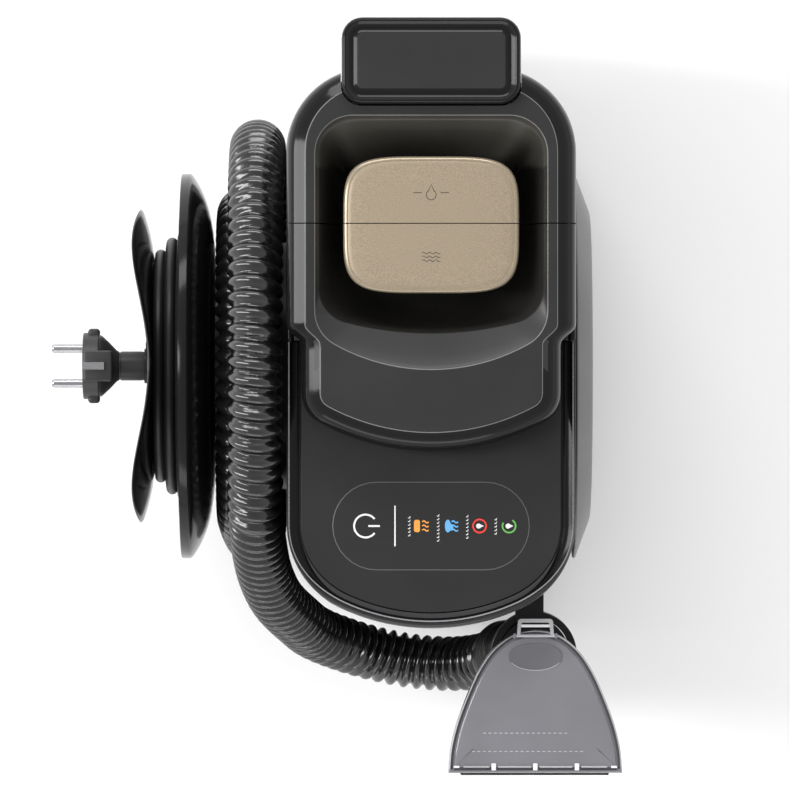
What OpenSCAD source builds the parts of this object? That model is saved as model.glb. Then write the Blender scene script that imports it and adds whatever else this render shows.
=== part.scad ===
// Portable carpet and upholstery cleaner. It stands on the floor, +Z up, +Y to the rear.
// The origin is on the floor, under the centre of the body.

/* [Body] */
// Width of the body across its flat side walls
body_w = 154; // [152:0.5:160]
// How far the body reaches forward of the origin
body_front = 147.5; // [145:0.5:150]
// How far the body reaches back from the origin
body_rear = 151; // [149:0.5:151]
// Radius of the gently bowed front
front_bow_r = 114; // [108:1:122]
// Radius of the two front corners
front_r = 50; // [46:1:54]
// Radius of the two rear corners
rear_r = 45; // [42:1:50]
// Wall thickness of the casings
wall = 3; // [2.5:0.1:3.2]
// Height of the control deck above the floor
deck_z = 262; // [260:0.5:263]
// Height of the tray that the tanks stand on
bay_z = 108; // [106:0.5:109]

/* [Tanks] */
// Height of the lid ring above the floor
top_z = 292; // [290:0.5:294]
// Where the clean and used water tanks part
split_y = 68; // [66:0.5:70]
// Half width of the recess in the lids
recess_w = 61.5; // [60:0.5:63]
// Width of the gripping block
grip_w = 93.4; // [90:0.2:96]
// Front edge of the gripping block
grip_y0 = 31; // [30:0.5:33]
// Rear edge of the gripping block
grip_y1 = 103.6; // [102:0.2:104]
// Corner radius of the gripping block
grip_r = 17; // [12:1:19]
// How far each tank lifts out
tank_lift = 200; // [180:5:230]

/* [Controls] */
// Length of the touch lens
lens_w = 106; // [100:1:110]
// Width of the touch lens
lens_h = 48; // [44:1:50]
// Middle of the touch lens
lens_y = -92.9; // [-94:0.1:-90]

/* [Reel] */
// Position of the reel's centre line along the body
axis_y = -7.2; // [-8:0.1:-6]
// Height of the reel's centre line
axis_z = 148; // [147:0.5:149]
// Radius of the hose drum
drum_r = 67.3; // [65:0.1:67.4]
// Radius of the big reel plate
plate_r = 105; // [100:1:106]
// Radius of the wavy outer flange
flange_r = 85.5; // [80:0.5:86]
// Radius of the drum that the mains lead is wound on
cord_drum_r = 42; // [41:0.5:42]

/* [Hose and lead] */
// Outer diameter of the ribbed suction hose
hose_d = 30.5; // [28:0.5:30.5]
// Radius of the hose's inner loop
inner_loop_r = 82.8; // [82.8:0.1:83.5]
// Radius of the hose's outer loop
outer_loop_r = 119.4; // [119:0.1:120]
// Diameter of the mains lead
lead_d = 6.2; // [6:0.1:6.2]

/* [Tool] */
// Middle of the hand tool across the body
tool_x = 56; // [55:0.5:57]
// Width of the nozzle's mouth end
nozzle_w = 94.4; // [90:0.2:96]
// Height of the top of the nozzle window
nozzle_z = 240; // [238:0.5:242]
// Radius of the tool's handle
tool_r = 19; // [17:0.5:19]

/* [Hidden] */
$fn = 64;
half_w = body_w / 2;
big = 500;
slack = 0.3;
pan_z = 5;
pan_top = 34;
housing_top = 258;
bay_front = 4;
motor_y = -78;
motor_r = 45;
fan_z = 146;
fan_top = 186;
port_z = 222;
port_r = 16;
valve_y = 106;
tank_z = 110;
tank_top = 266;
lid_z = 268;
recess_floor = 236;
recess_front = -9.3;
recess_rear = 125;
lip_front = -53;
lip_w = 69;
step_y0 = 3.5;
step_y1 = 14;
notch_w = 50;
notch_y = 129;
column_y0 = 131.5;
column_y1 = 172;
pad_w = 95;
pad_y0 = 131;
pad_y1 = 177;
pad_top = 298;
leg_x = 30;
leg_y = 152;
plate_x = -135.6;
flange_x = -151;
foot_spots = [[-55, -100], [55, -100], [-52, 100], [52, 100], [0, 0]];
post_spots = [[-36, -114], [36, -114], [-36, -42], [36, -42]];
screw_spots = [[-60, -60], [60, -60], [-60, 60], [60, 60], [0, -130], [0, 132]];

dark = [0.07, 0.07, 0.075];
deck_grey = [0.16, 0.16, 0.165];
champagne = [0.6, 0.53, 0.41];
smoke = [0.35, 0.35, 0.38, 0.5];
silver = [0.75, 0.75, 0.78];
board_green = [0.05, 0.3, 0.15];
rubber_black = [0.04, 0.04, 0.04];
hose_black = [0.03, 0.03, 0.035];

// ---- outlines -------------------------------------------------------------------------------
function smooth(t) = t * t * (3 - 2 * t);
function arc(c, r, a0, a1, n = 8) =
  [for (i = [0:n]) let (a = a0 + (a1 - a0) * i / n) [c.x + r * cos(a), c.y + r * sin(a)]];
function round_box(x0, x1, y0, y1, r) = concat(
  arc([x1 - r, y0 + r], r, -90, 0), arc([x1 - r, y1 - r], r, 0, 90),
  arc([x0 + r, y1 - r], r, 90, 180), arc([x0 + r, y0 + r], r, 180, 270));
function mirrored(half) = concat(half, [for (i = [len(half) - 1:-1:0]) [-half[i].x, half[i].y]]);

// The body seen from above, drawn inset by a wall or a gap. Its front is bowed between the corners.
front_corner = [half_w - front_r, front_bow_r - body_front - sqrt(pow(front_bow_r - front_r, 2)
  - pow(half_w - front_r, 2))];
front_a = asin(front_corner.x / (front_bow_r - front_r));
function body_plan(inset) = mirrored(concat(
  arc([0, front_bow_r - body_front], front_bow_r - inset, -90, front_a - 90, 8),
  arc(front_corner, front_r - inset, front_a - 90, 0, 12),
  arc([half_w - rear_r, body_rear - rear_r], rear_r - inset, 0, 90, 12)));

// The lid ring: wide over the tanks, then it steps in and runs forward over the deck as a lip.
lip_bow_r = 125;
lip_corner_r = 18;
lip_corner = [lip_w - lip_corner_r, lip_front + lip_bow_r - sqrt(pow(lip_bow_r - lip_corner_r, 2)
  - pow(lip_w - lip_corner_r, 2))];
lip_a = asin(lip_corner.x / (lip_bow_r - lip_corner_r));
function lid_plan(inset) = mirrored(concat(
  arc([0, lip_front + lip_bow_r], lip_bow_r - inset, -90, lip_a - 90, 8),
  arc(lip_corner, lip_corner_r - inset, lip_a - 90, 0, 7),
  [for (i = [0:6]) [lip_w + (half_w - lip_w) * smooth(i / 6) - inset,
                    step_y0 + (step_y1 - step_y0) * i / 6]],
  arc([half_w - rear_r, body_rear - rear_r], rear_r - inset, 0, 90, 12)));

// The recess in the lids: square at the rear and bowed at the front.
bow_r = 104.6;
recess_r = 20;
bow_corner = [recess_w - recess_r, recess_front + bow_r - sqrt(pow(bow_r - recess_r, 2)
  - pow(recess_w - recess_r, 2))];
bow_a = asin(bow_corner.x / (bow_r - recess_r));
function recess_plan(inset) = mirrored(concat(
  arc([0, recess_front + bow_r], bow_r - inset, -90, bow_a - 90, 7),
  arc(bow_corner, recess_r - inset, bow_a - 90, 0, 6),
  arc([recess_w - recess_r, recess_rear - recess_r], recess_r - inset, 0, 90, 8)));

// The tanks' footprint, with a notch behind it for the handle's column.
module tank_footprint(inset) {
  difference() {
    polygon(body_plan(4 + inset));
    translate([-notch_w - inset, notch_y - inset]) square([2 * (notch_w + inset), 50]);
    translate([-big / 2, -big]) square([big, big + bay_front + 2 + inset]);
  }
}

// ---- helpers --------------------------------------------------------------------------------
// Stands a solid drawn round Z on the reel's centre line, with its Z along +X.
module on_axis() translate([0, axis_y, axis_z]) rotate([0, 90, 0]) children();
module slab(points, z0, z1) translate([0, 0, z0]) linear_extrude(z1 - z0) polygon(points);
module tapered(lower, z0, upper, z1) hull() {
  slab(lower, z0, z0 + 0.1);
  slab(upper, z1 - 0.1, z1);
}
module rear_of(y) intersection() {
  children();
  translate([-big / 2, y, -big / 2]) cube([big, big, 2 * big]);
}
module front_of(y) intersection() {
  children();
  translate([-big / 2, y - big, -big / 2]) cube([big, big, 2 * big]);
}
module hole_z(x, y, r, z0, z1) translate([x, y, z0]) cylinder(h = z1 - z0, r = r);
module box(low, high) translate(low) cube(high - low);

// ---- tubes swept along a path ---------------------------------------------------------------
function unit(v) = v / norm(v);
function heading(path, i) = unit(path[min(i + 1, len(path) - 1)] - path[max(i - 1, 0)]);
function turned(n, t) = unit(n - (n * t) * t);
function normals(path) = let (t0 = heading(path, 0), up = abs(t0.z) > 0.9 ? [0, 1, 0] : [0, 0, 1])
  [for (i = 0, n = turned(up, t0); i < len(path);
        i = i + 1, n = turned(n, heading(path, min(i, len(path) - 1)))) n];
module tube(path, r, sides = 12) {
  ns = normals(path);
  last = len(path) - 1;
  points = [for (i = [0:last]) let (t = heading(path, i), b = cross(t, ns[i]))
    for (k = [0:sides - 1]) path[i] + r * (cos(360 * k / sides) * ns[i] + sin(360 * k / sides) * b)];
  sleeve = [for (i = [0:last - 1]) for (k = [0:sides - 1]) let (j = (k + 1) % sides)
    [i * sides + k, (i + 1) * sides + k, (i + 1) * sides + j, i * sides + j]];
  caps = [[for (k = [0:sides - 1]) k], [for (k = [sides - 1:-1:0]) last * sides + k]];
  polyhedron(points, concat(sleeve, caps));
}
function between(a, b, c, d, t) = 0.5 * ((2 * b) + (c - a) * t + (2 * a - 5 * b + 4 * c - d) * t * t
  + (3 * b - a - 3 * c + d) * t * t * t);
// A smooth curve through hand-set points, with a few rings on each stretch.
function curve(p, steps) = let (n = len(p) - 1) concat(
  [for (i = [0:n - 1]) for (k = [0:steps - 1])
    between(p[max(i - 1, 0)], p[i], p[i + 1], p[min(i + 2, n)], k / steps)], [p[n]]);

// ---- the hose's route -----------------------------------------------------------------------
// Angles run from the top of the reel towards the front, and the hose goes round nearly twice.
function round_reel(x, r, a) = [x, axis_y - r * sin(a), axis_z + r * cos(a)];
inner_x = -101;
outer_x = -94;
hose_start = -555;
cross_start = -275;
cross_end = -220;
loop_end = 42;
hose_route = [[-92, -108, 204], [-89, -122, 178], [-83, -135, 152], [-73, -146, 124],
              [-62, -155, 98], [-39, -164, 77], [-14, -170, 71], [10, -172, 76],
              [28, -170, 90], [39, -166, 110]];
inner_loop = [for (a = [hose_start:10:cross_start - 5]) round_reel(inner_x, inner_loop_r, a)];
crossing = [for (i = [0:5]) let (t = i / 6, s = smooth(t)) round_reel(
  inner_x + (outer_x - inner_x) * s, inner_loop_r + (outer_loop_r - inner_loop_r) * s,
  cross_start + (cross_end - cross_start) * t)];
outer_loop = [for (i = [0:27]) round_reel(outer_x, outer_loop_r,
  cross_end + (loop_end - cross_end) * i / 27)];
hose_path = concat(inner_loop, crossing, outer_loop, curve(hose_route, 2));
outlet_route = [for (s = [[46, 145], [58, 147], [70, 151], [79, 157], [inner_loop_r, 165]])
  round_reel(inner_x, s[0], s[1])];
tail_route = [[-134.5, 10, -34.5], [-134, 4.5, -31], [-133, 0.5, -26], [-132.2, 0, -20],
              [-133.7, 0, -13], [-138, 0, -6], [-144, 0, -1.6], [-149.5, 0, 0], [-152.2, 0, 0]];

// ---- casing ---------------------------------------------------------------------------------
module base_pan() color(dark) difference() {
  union() {
    difference() {
      slab(body_plan(0.5), pan_z, pan_top);
      slab(body_plan(0.5 + wall), pan_z + wall, pan_top + 1);
    }
    for (p = post_spots) hole_z(p.x, p.y, 5, pan_z + wall, 50);
    for (p = screw_spots) hole_z(p.x, p.y, 5.5, pan_z + wall, pan_top - 2);
  }
  for (p = foot_spots) hole_z(p.x, p.y, 4.1, 0, pan_z + wall + 1);
  for (p = screw_spots) hole_z(p.x, p.y, 4.5, 0, pan_z + 3);
  for (p = screw_spots) hole_z(p.x, p.y, 1.6, 0, pan_top);
}
module rubber_feet() color(rubber_black) for (p = foot_spots) {
  hole_z(p.x, p.y, 13, 0, pan_z);
  hole_z(p.x, p.y, 4, pan_z, pan_z + wall + 3);
}
module screws() color(silver) for (p = screw_spots) {
  hole_z(p.x, p.y, 3.8, pan_z + 0.6, pan_z + 3);
  hole_z(p.x, p.y, 1.5, pan_z + 3, pan_top - 6);
}
module main_housing() color(dark) difference() {
  union() {
    difference() {
      slab(body_plan(0), pan_top, housing_top);
      slab(body_plan(wall), pan_top - 1, housing_top + 1);
    }
    rear_of(bay_front - 3) slab(body_plan(wall), bay_z - 4, bay_z);
    box([wall - half_w, bay_front - 3, bay_z], [half_w - wall, bay_front, housing_top]);
    intersection() {
      on_axis() for (x = [-half_w, half_w - 14]) translate([0, 0, x]) cylinder(h = 14, r = 98);
      difference() {
        box([-half_w, -112, 50], [half_w, 1, 246]);
        slab(body_plan(wall + 6), 0, big);
      }
    }
  }
  translate([-big / 2, 152, 262]) rotate([0, 90, 0]) cylinder(h = big, r = 112);
  box([-48, bay_front + 120, bay_z], [48, big, big]);
  on_axis() translate([0, 0, half_w - 20]) cylinder(h = 30, r = 52);
  on_axis() translate([0, 0, -half_w - 1]) cylinder(h = 30, r = 26);
  translate([0, bay_front - 10, port_z]) rotate([-90, 0, 0]) cylinder(h = 20, r = port_r);
  hole_z(0, valve_y, 14.2, bay_z - 10, bay_z + 1);
}
module deck_panel() color(deck_grey) difference() {
  front_of(bay_front - 3.2) union() {
    slab(body_plan(9), deck_z - 4, deck_z);
    slab(body_plan(wall + 0.4), housing_top - 8, deck_z - 4);
  }
  front_of(bay_front - 6) slab(body_plan(wall + 3), housing_top - 9, deck_z - 4);
  slab(lens_plan(0), deck_z - 2.5, deck_z + 1);
  slab(lens_plan(5), 0, big);
}
module deck_trim() color(dark) front_of(bay_front - 3.2) difference() {
  slab(body_plan(0), housing_top, deck_z + 2);
  slab(body_plan(8.4), housing_top - 1, deck_z + 3);
  slab(body_plan(wall + 0.2), housing_top - 9, housing_top + 0.2);
  slab(body_plan(6.2), housing_top + 1, deck_z + 0.5);
}
function lens_plan(inset) = round_box(-lens_w / 2 + inset, lens_w / 2 - inset,
  lens_y - lens_h / 2 + inset, lens_y + lens_h / 2 - inset, lens_h / 2 - inset - 0.01);
module control_lens() color([0.1, 0.1, 0.105]) slab(lens_plan(0.3), deck_z - 2.4, deck_z);
icon_spots = [-34.8, -19.2, -5.3, 10.4, 25.9, 41.6];
module icon_guides() color("white") for (x = icon_spots)
  hole_z(x, lens_y, 3.4, deck_z - 9.9, deck_z - 2.5);
module touch_board() color(board_green) {
  box([-46, lens_y - 17, deck_z - 12], [46, lens_y + 17, deck_z - 10]);
  box([-12, lens_y - 8, deck_z - 15], [6, lens_y + 6, deck_z - 12]);
}
module main_board() color(board_green) {
  box([-62, -24, 40], [-6, -6, 42]);
  for (x = [-56, -40, -24]) hole_z(x, -15, 6, 42, 58);
}

// ---- motor, fan and air path ----------------------------------------------------------------
module suction_motor() color([0.45, 0.45, 0.47]) difference() {
  union() {
    hole_z(0, motor_y, motor_r, 62, 138);
    hole_z(0, motor_y, 16, 56, 144);
    for (a = [0:45:315]) translate([0, motor_y, 66]) rotate(a) box([motor_r - 2, -4, 0], [motor_r + 4, 4, 66]);
  }
  hole_z(0, motor_y, 4.05, 50, 150);
}
module motor_mounts() color(rubber_black) difference() {
  union() {
    hole_z(0, motor_y, 56, 50, 55);
    hole_z(0, motor_y, 44, 55, 62);
  }
  hole_z(0, motor_y, 17, 49, 63);
}
module motor_shaft() color(silver) hole_z(0, motor_y, 4, 58, 178);
module impeller() color([0.8, 0.8, 0.78]) difference() {
  union() {
    hole_z(0, motor_y, 47, 152, 154.5);
    hole_z(0, motor_y, 11, 154, 176);
    for (a = [0:40:320]) translate([0, motor_y, 154]) rotate(a) intersection() {
      translate([30, 18, 0]) difference() {
        cylinder(h = 16, r = 31);
        translate([0, 0, -1]) cylinder(h = 18, r = 29);
      }
      box([9, -16, 0], [44, 12, 16]);
    }
  }
  hole_z(0, motor_y, 4, 150, 180);
}
module fan_housing() color(dark) difference() {
  hole_z(0, motor_y, 54, fan_z, fan_top);
  hole_z(0, motor_y, 50, fan_z + 3, fan_top - 3);
  hole_z(0, motor_y, 18, fan_top - 4, fan_top + 1);
  hole_z(0, motor_y, 17, fan_z - 1, fan_z + 4);
  translate([40, motor_y, 166]) rotate([0, 90, 0]) cylinder(h = 30, r = 12);
}
duct_route = [[0, motor_y, fan_top], [0, motor_y, 200], [0, motor_y + 8, 213],
              [0, motor_y + 22, 221], [0, motor_y + 44, port_z], [0, bay_front - 3, port_z]];
module suction_duct() color(dark) difference() {
  tube(curve(duct_route, 3), 20, 16);
  tube(curve(concat([[0, motor_y, fan_top - 3]], duct_route, [[0, bay_front, port_z]]), 3), 17, 16);
  hole_z(0, motor_y, 40, fan_top - 20, fan_top);
  box([-50, bay_front - 3, port_z - 50], [50, bay_front + 20, port_z + 50]);
}
module port_seal() color(rubber_black) translate([0, bay_front, port_z]) rotate([-90, 0, 0])
  difference() {
    cylinder(h = 1.6, r = port_r + 5);
    translate([0, 0, -1]) cylinder(h = 4, r = port_r);
  }
function vent_x(i) = 24 + 6.5 * i;
module side_cover() color([0.3, 0.3, 0.31]) difference() {
  on_axis() rotate_extrude() polygon([[0, 84.5], [81.5, 84.5], [100.5, 77.5], [plate_r, 77.5],
    [plate_r, 78.6], [83.5, 87], [80, 87.6], [0, 87.6]]);
  for (i = [0:7]) box([80, axis_y + vent_x(i), axis_z - 30 + 2.4 * i],
    [90, axis_y + vent_x(i) + 3.2, axis_z + 30 - 2.4 * i]);
}
module exhaust_filter() color([0.75, 0.75, 0.7]) on_axis() translate([0, 0, 78.5])
  cylinder(h = 5.7, r = 50);

// ---- water and steam ------------------------------------------------------------------------
module water_pump() color([0.3, 0.3, 0.32]) translate([-52, 40, 58]) rotate([0, 90, 0]) {
  cylinder(h = 48, r = 17);
  translate([0, 0, 48]) cylinder(h = 14, r = 12);
  translate([0, 0, 62]) cylinder(h = 10, r = 4);
  translate([0, 0, -8]) cylinder(h = 8, r = 4);
}
module steam_boiler() color([0.7, 0.7, 0.72]) {
  translate([-50, 96, 66]) rotate([0, 90, 0]) cylinder(h = 86, r = 26);
  translate([-54, 96, 66]) rotate([0, 90, 0]) cylinder(h = 94, r = 12);
  for (x = [-34, 20]) box([x, 84, 37], [x + 8, 108, 48]);
  translate([-60, 96, 66]) rotate([0, 90, 0]) cylinder(h = 106, r = 4);
}
module solenoid_valve() color([0.2, 0.2, 0.22]) {
  box([38, 28, 38], [62, 52, 66]);
  hole_z(50, 40, 9, 66, 84);
  hole_z(50, 40, 4, 84, 92);
}
tube_runs = [
  [[0, valve_y, 96], [-2, 104, 94.5], [-30, 80, 95], [-62, 54, 90], [-66, 42, 70], [-60.2, 40, 58]],
  [[20.2, 40, 58], [28, 40, 58], [33, 44, 62], [30, 58, 62], [-30, 62, 46], [-66, 76, 50],
   [-68, 94, 62], [-60.2, 96, 66]],
  [[46.2, 96, 66], [56, 94, 66], [64, 84, 72], [62, 60, 94], [52, 42, 98], [50, 40, 92.2]]
];
module water_tubes() color([0.8, 0.8, 0.82]) for (run = tube_runs) tube(curve(run, 3), 3.2, 8);
module valve_receiver() color([0.2, 0.2, 0.22]) {
  difference() {
    hole_z(0, valve_y, 14, 99, bay_z - 0.2);
    hole_z(0, valve_y, 11, 102, bay_z);
  }
  hole_z(0, valve_y, 1.5, 102, bay_z - 0.4);
  hole_z(0, valve_y, 4, 96.2, 99);
}

// ---- tanks ----------------------------------------------------------------------------------
module tank_shell(y_side) difference() {
  translate([0, 0, tank_z]) linear_extrude(tank_top - tank_z) tank_footprint(0);
  translate([0, 0, tank_z + wall]) linear_extrude(big) difference() {
    tank_footprint(2.5);
    translate([-half_w, split_y - 3]) square([body_w, 6]);
  }
}
// The walls and gaskets at the split are cut back round the recess that hangs between them.
module recess_cut() box([-shell_w, split_y - 10, recess_floor - 2.5], [shell_w, split_y + 10, big]);
module clean_tank() color(smoke) difference() {
  union() {
    rear_of(split_y + 0.4) tank_shell();
    hole_z(0, valve_y, 10, bay_z + 0.6, tank_z + 1);
  }
  hole_z(0, valve_y, 6, 0, tank_z + wall + 1);
  recess_cut();
}
module used_tank() color(smoke) difference() {
  front_of(split_y - 0.4) tank_shell();
  translate([0, 0, port_z]) rotate([-90, 0, 0]) cylinder(h = 30, r = port_r - 1);
  recess_cut();
}
module gasket() difference() {
  translate([0, 0, tank_top]) linear_extrude(lid_z - tank_top) difference() {
    tank_footprint(0.2);
    difference() {
      tank_footprint(3);
      translate([-half_w, split_y - 4]) square([body_w, 8]);
    }
  }
  recess_cut();
}
module clean_tank_gasket() color(rubber_black) rear_of(split_y + 0.4) gasket();
module used_tank_gasket() color(rubber_black) front_of(split_y - 0.4) gasket();
module lid_notch() box([-notch_w, notch_y, -big], [notch_w, big, big]);
module lids() difference() {
  union() {
    slab(lid_plan(0), lid_z, top_z - 8);
    tapered(lid_plan(0), top_z - 8, lid_plan(7), top_z);
    slab(round_box(-shell_w, shell_w, 9.5, 124.5, 20), recess_floor - 2.5, lid_z + 1);
  }
  tapered(floor_plan, recess_floor, waist_plan, lid_z - 2);
  tapered(waist_plan, lid_z - 2.1, recess_plan(0), top_z + 0.2);
  lid_notch();
}
shell_w = 62;
floor_plan = round_box(-57, 57, 16, 118, 16);
waist_plan = round_box(-59.5, 59.5, 12, 122, 18);
function stem_plan() = round_box(-grip_w / 2 + 7, grip_w / 2 - 7, grip_y0 + 11, grip_y1 - 9, 10);
function grip_plan(inset) = round_box(-grip_w / 2 + inset, grip_w / 2 - inset, grip_y0 + inset,
  grip_y1 - inset, grip_r - inset);
module whole_lid() {
  lids();
  slab(stem_plan(), recess_floor, 272);
}
module clean_tank_lid() color(dark) rear_of(split_y + 0.25) whole_lid();
module used_tank_lid() color(dark) front_of(split_y - 0.25) whole_lid();
module grips() difference() {
  union() {
    slab(grip_plan(0), 272, 284);
    tapered(grip_plan(0), 284, grip_plan(2), 286.5);
  }
  difference() {
    slab(grip_plan(2.5), 274.5, 283.5);
    box([-half_w, split_y - 3, 0], [half_w, split_y + 3, big]);
  }
}
module clean_tank_grip() color(champagne) rear_of(split_y + 0.25) grips();
module used_tank_grip() color(champagne) front_of(split_y - 0.25) grips();
module tank_valve() color([0.85, 0.85, 0.85]) {
  hole_z(0, valve_y, 8.5, 113.3, 116);
  hole_z(0, valve_y, 3, bay_z, 138);
}
module valve_cage() color([0.6, 0.6, 0.62]) difference() {
  hole_z(0, valve_y, 13, 113, 134);
  hole_z(0, valve_y, 10.5, 112, 131);
  hole_z(0, valve_y, 3.05, 130, 135);
  for (a = [0:60:120]) translate([0, valve_y, 117]) rotate(a) box([-20, -3.5, 0], [20, 3.5, 11]);
}
spring_path = [for (i = [0:60]) let (a = i * 24) [5.5 * cos(a), valve_y + 5.5 * sin(a), 117 + i * 13.2 / 60]];
module valve_spring() color(silver) tube(spring_path, 0.6, 6);
float_y = 36;
module float_cage() color([0.3, 0.3, 0.32]) difference() {
  hole_z(0, float_y, 17, 180, recess_floor - 2.7);
  hole_z(0, float_y, 14.5, 183, recess_floor);
  hole_z(0, float_y, 6, 179, 190);
  for (a = [0:45:135]) translate([0, float_y, 186]) rotate(a) box([-20, -3.5, 0], [20, 3.5, 40]);
}
module float() color("white") translate([0, float_y, 183.3]) {
  cylinder(h = 20, r = 14);
  translate([0, 0, 20]) cylinder(h = 4, r1 = 14, r2 = 9);
}

// ---- carrying handle ------------------------------------------------------------------------
module handle_column() color(dark) difference() {
  union() {
    slab(round_box(-46, 46, body_rear + 0.2, column_y1, 9), 60, 282);
    slab(round_box(-46, 46, column_y0, column_y1, 9), bay_z + 0.2, 282);
  }
  for (s = [-1, 1]) box([s * leg_x - 9.5, leg_y - 7.5, 150], [s * leg_x + 9.5, leg_y + 7.5, 283]);
  slab(round_box(-42, 42, body_rear + 3.2, column_y1 - 3, 6), 63, 146);
}
module carry_handle() color(dark) {
  difference() {
    union() {
      slab(round_box(-pad_w / 2, pad_w / 2, pad_y0, pad_y1, 10), 283, pad_top - 3);
      tapered(round_box(-pad_w / 2, pad_w / 2, pad_y0, pad_y1, 10), pad_top - 3,
        round_box(-pad_w / 2 + 3, pad_w / 2 - 3, pad_y0 + 3, pad_y1 - 3, 8), pad_top);
    }
    slab(round_box(-pad_w / 2 + 6, pad_w / 2 - 6, pad_y0 + 6, pad_y1 - 6, 6), pad_top - 1.5, pad_top + 1);
  }
  for (s = [-1, 1]) box([s * leg_x - 9, leg_y - 7, 156], [s * leg_x + 9, leg_y + 7, 284]);
}

// ---- reel -----------------------------------------------------------------------------------
function dome_x(r) = -116.5 - 13.3 * pow(r / plate_r, 6);
dome = [for (i = [0:12]) let (r = 16 + (plate_r - 16) * i / 12) [r, dome_x(r)]];
module hose_drum() color(dark) on_axis() rotate_extrude() polygon([[drum_r - wall, -half_w - 0.2],
  [drum_r, -half_w - 0.2], [drum_r, -116], [20, -116], [20, -113], [drum_r - wall, -113]]);
// The plate is domed towards the body, and the lead lies in the well in its outer face.
well_r = 75;
well_x = -125.2;
module reel_plate() color(dark) on_axis() rotate_extrude() polygon(concat(
  [for (p = dome) [p.x, p.y - 0.3]],
  [[plate_r, plate_x], [well_r, plate_x], [well_r, well_x], [16, well_x], [16, well_x + 3],
   [well_r, well_x + 3]],
  [for (i = [10:-1:2]) [min(dome[i].x, 98), min(dome[i].y - 3.3, plate_x + 14)]], [[16, -119.8]]));
module cord_drum() color(dark) difference() {
  on_axis() rotate_extrude() polygon([[cord_drum_r - 3, well_x - 0.1], [cord_drum_r, well_x - 0.1],
    [cord_drum_r, flange_x + 1.1], [cord_drum_r - 3, flange_x + 1.1]]);
  box([-139, axis_y + 1, axis_z - 60], [-129, axis_y + 28, axis_z - 20]);
}
// The flange stays flat to flat_r and then flares away from the reel in two deep waves.
flat_r = 48;
function flare(r, a) = let (t = max(0, (r - flat_r) / (flange_r - flat_r)))
  t * t * (6.8 * cos(a) * cos(a) + 6.4 * sin(2 * a) * sin(2 * a));
module cord_flange() {
  rings = [9, 28, flat_r, 58, 66, 73, 79.5, flange_r];
  n = 48;
  m = len(rings);
  function at(side, i, k) = (side * m + i) * n + (k % n);
  points = [for (side = [0, 1]) for (r = rings) for (k = [0:n - 1]) let (a = 360 * k / n)
    [flange_x + (side == 0 ? 1 : -1) - flare(r, a), axis_y + r * cos(a), axis_z + r * sin(a)]];
  faces = concat(
    [for (i = [0:m - 2]) for (k = [0:n - 1]) [at(0, i, k), at(0, i, k + 1), at(0, i + 1, k + 1)]],
    [for (i = [0:m - 2]) for (k = [0:n - 1]) [at(0, i, k), at(0, i + 1, k + 1), at(0, i + 1, k)]],
    [for (i = [0:m - 2]) for (k = [0:n - 1]) [at(1, i, k), at(1, i + 1, k + 1), at(1, i, k + 1)]],
    [for (i = [0:m - 2]) for (k = [0:n - 1]) [at(1, i, k), at(1, i + 1, k), at(1, i + 1, k + 1)]],
    [for (k = [0:n - 1]) [at(0, m - 1, k), at(0, m - 1, k + 1), at(1, m - 1, k + 1)]],
    [for (k = [0:n - 1]) [at(0, m - 1, k), at(1, m - 1, k + 1), at(1, m - 1, k)]],
    [for (k = [0:n - 1]) [at(0, 0, k), at(1, 0, k + 1), at(0, 0, k + 1)]],
    [for (k = [0:n - 1]) [at(0, 0, k), at(1, 0, k), at(1, 0, k + 1)]]);
  color(dark) polyhedron(points, faces);
}
module cord_gland() color(rubber_black) translate([-141.4, axis_y + 30, axis_z - 82]) {
  rotate([90, 0, 0]) cylinder(h = 30, r1 = 5.6, r2 = 4.2);
  box([-1, 0, -6], [5.7, 8, 6]);
}
// The wound lead lies in four columns side by side, and the outer ones are built up less high.
module cord_winding() color(rubber_black) on_axis() rotate_extrude() polygon(concat(
  [[cord_drum_r + 0.1, well_x - 0.1]],
  [for (i = [0:3]) for (j = [0:1]) [column_tops[i], well_x - 0.1 - (i + j) * column_pitch]],
  [[cord_drum_r + 0.1, well_x - 0.1 - 4 * column_pitch]]));
column_tops = [70.7, 73.9, 70.3, 63.8];
column_pitch = lead_d - 0.05;
module cord_tail() color(rubber_black)
  tube([for (p = tail_route) [p.x, axis_y + p.y, axis_z + p.z]], lead_d / 2, 8);
module plug_clip() color(dark) on_axis() difference() {
  union() {
    translate([0, 0, -156]) cylinder(h = 156 + flange_x - 1.1, r = 9.5);
    box([-12, 7, -155], [-2, 13, flange_x - 1.1]);
  }
  translate([0, 0, -159]) cylinder(h = 20, r = 8.2);
}
plug_front = -189.5;
module plug_body() color(dark) {
  on_axis() rotate_extrude() polygon([[0, -152.5], [7.4, -152.5], [8, -154], [8, -167.5], [17, -176.3],
    [18.4, -178], [18.4, plug_front + 1], [17.4, plug_front], [0, plug_front]]);
  on_axis() for (s = [-1, 1]) box([-6, s * 18.8 - 1.9, plug_front + 2.6], [6, s * 18.8 + 1.9, -180]);
}
module plug_pins() color(silver) on_axis() for (s = [-1, 1]) translate([0, s * 9.5, plug_front - 17.2]) {
  translate([0, 0, 1.2]) cylinder(h = 16, r = 2.4);
  cylinder(h = 1.2, r1 = 1.6, r2 = 2.4);
}
module plug_earth_clips() color(silver) on_axis() for (s = [-1, 1])
  box([s * 19.3 - 0.9, -2, plug_front], [s * 19.3 + 0.9, 2, plug_front + 12]);

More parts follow.
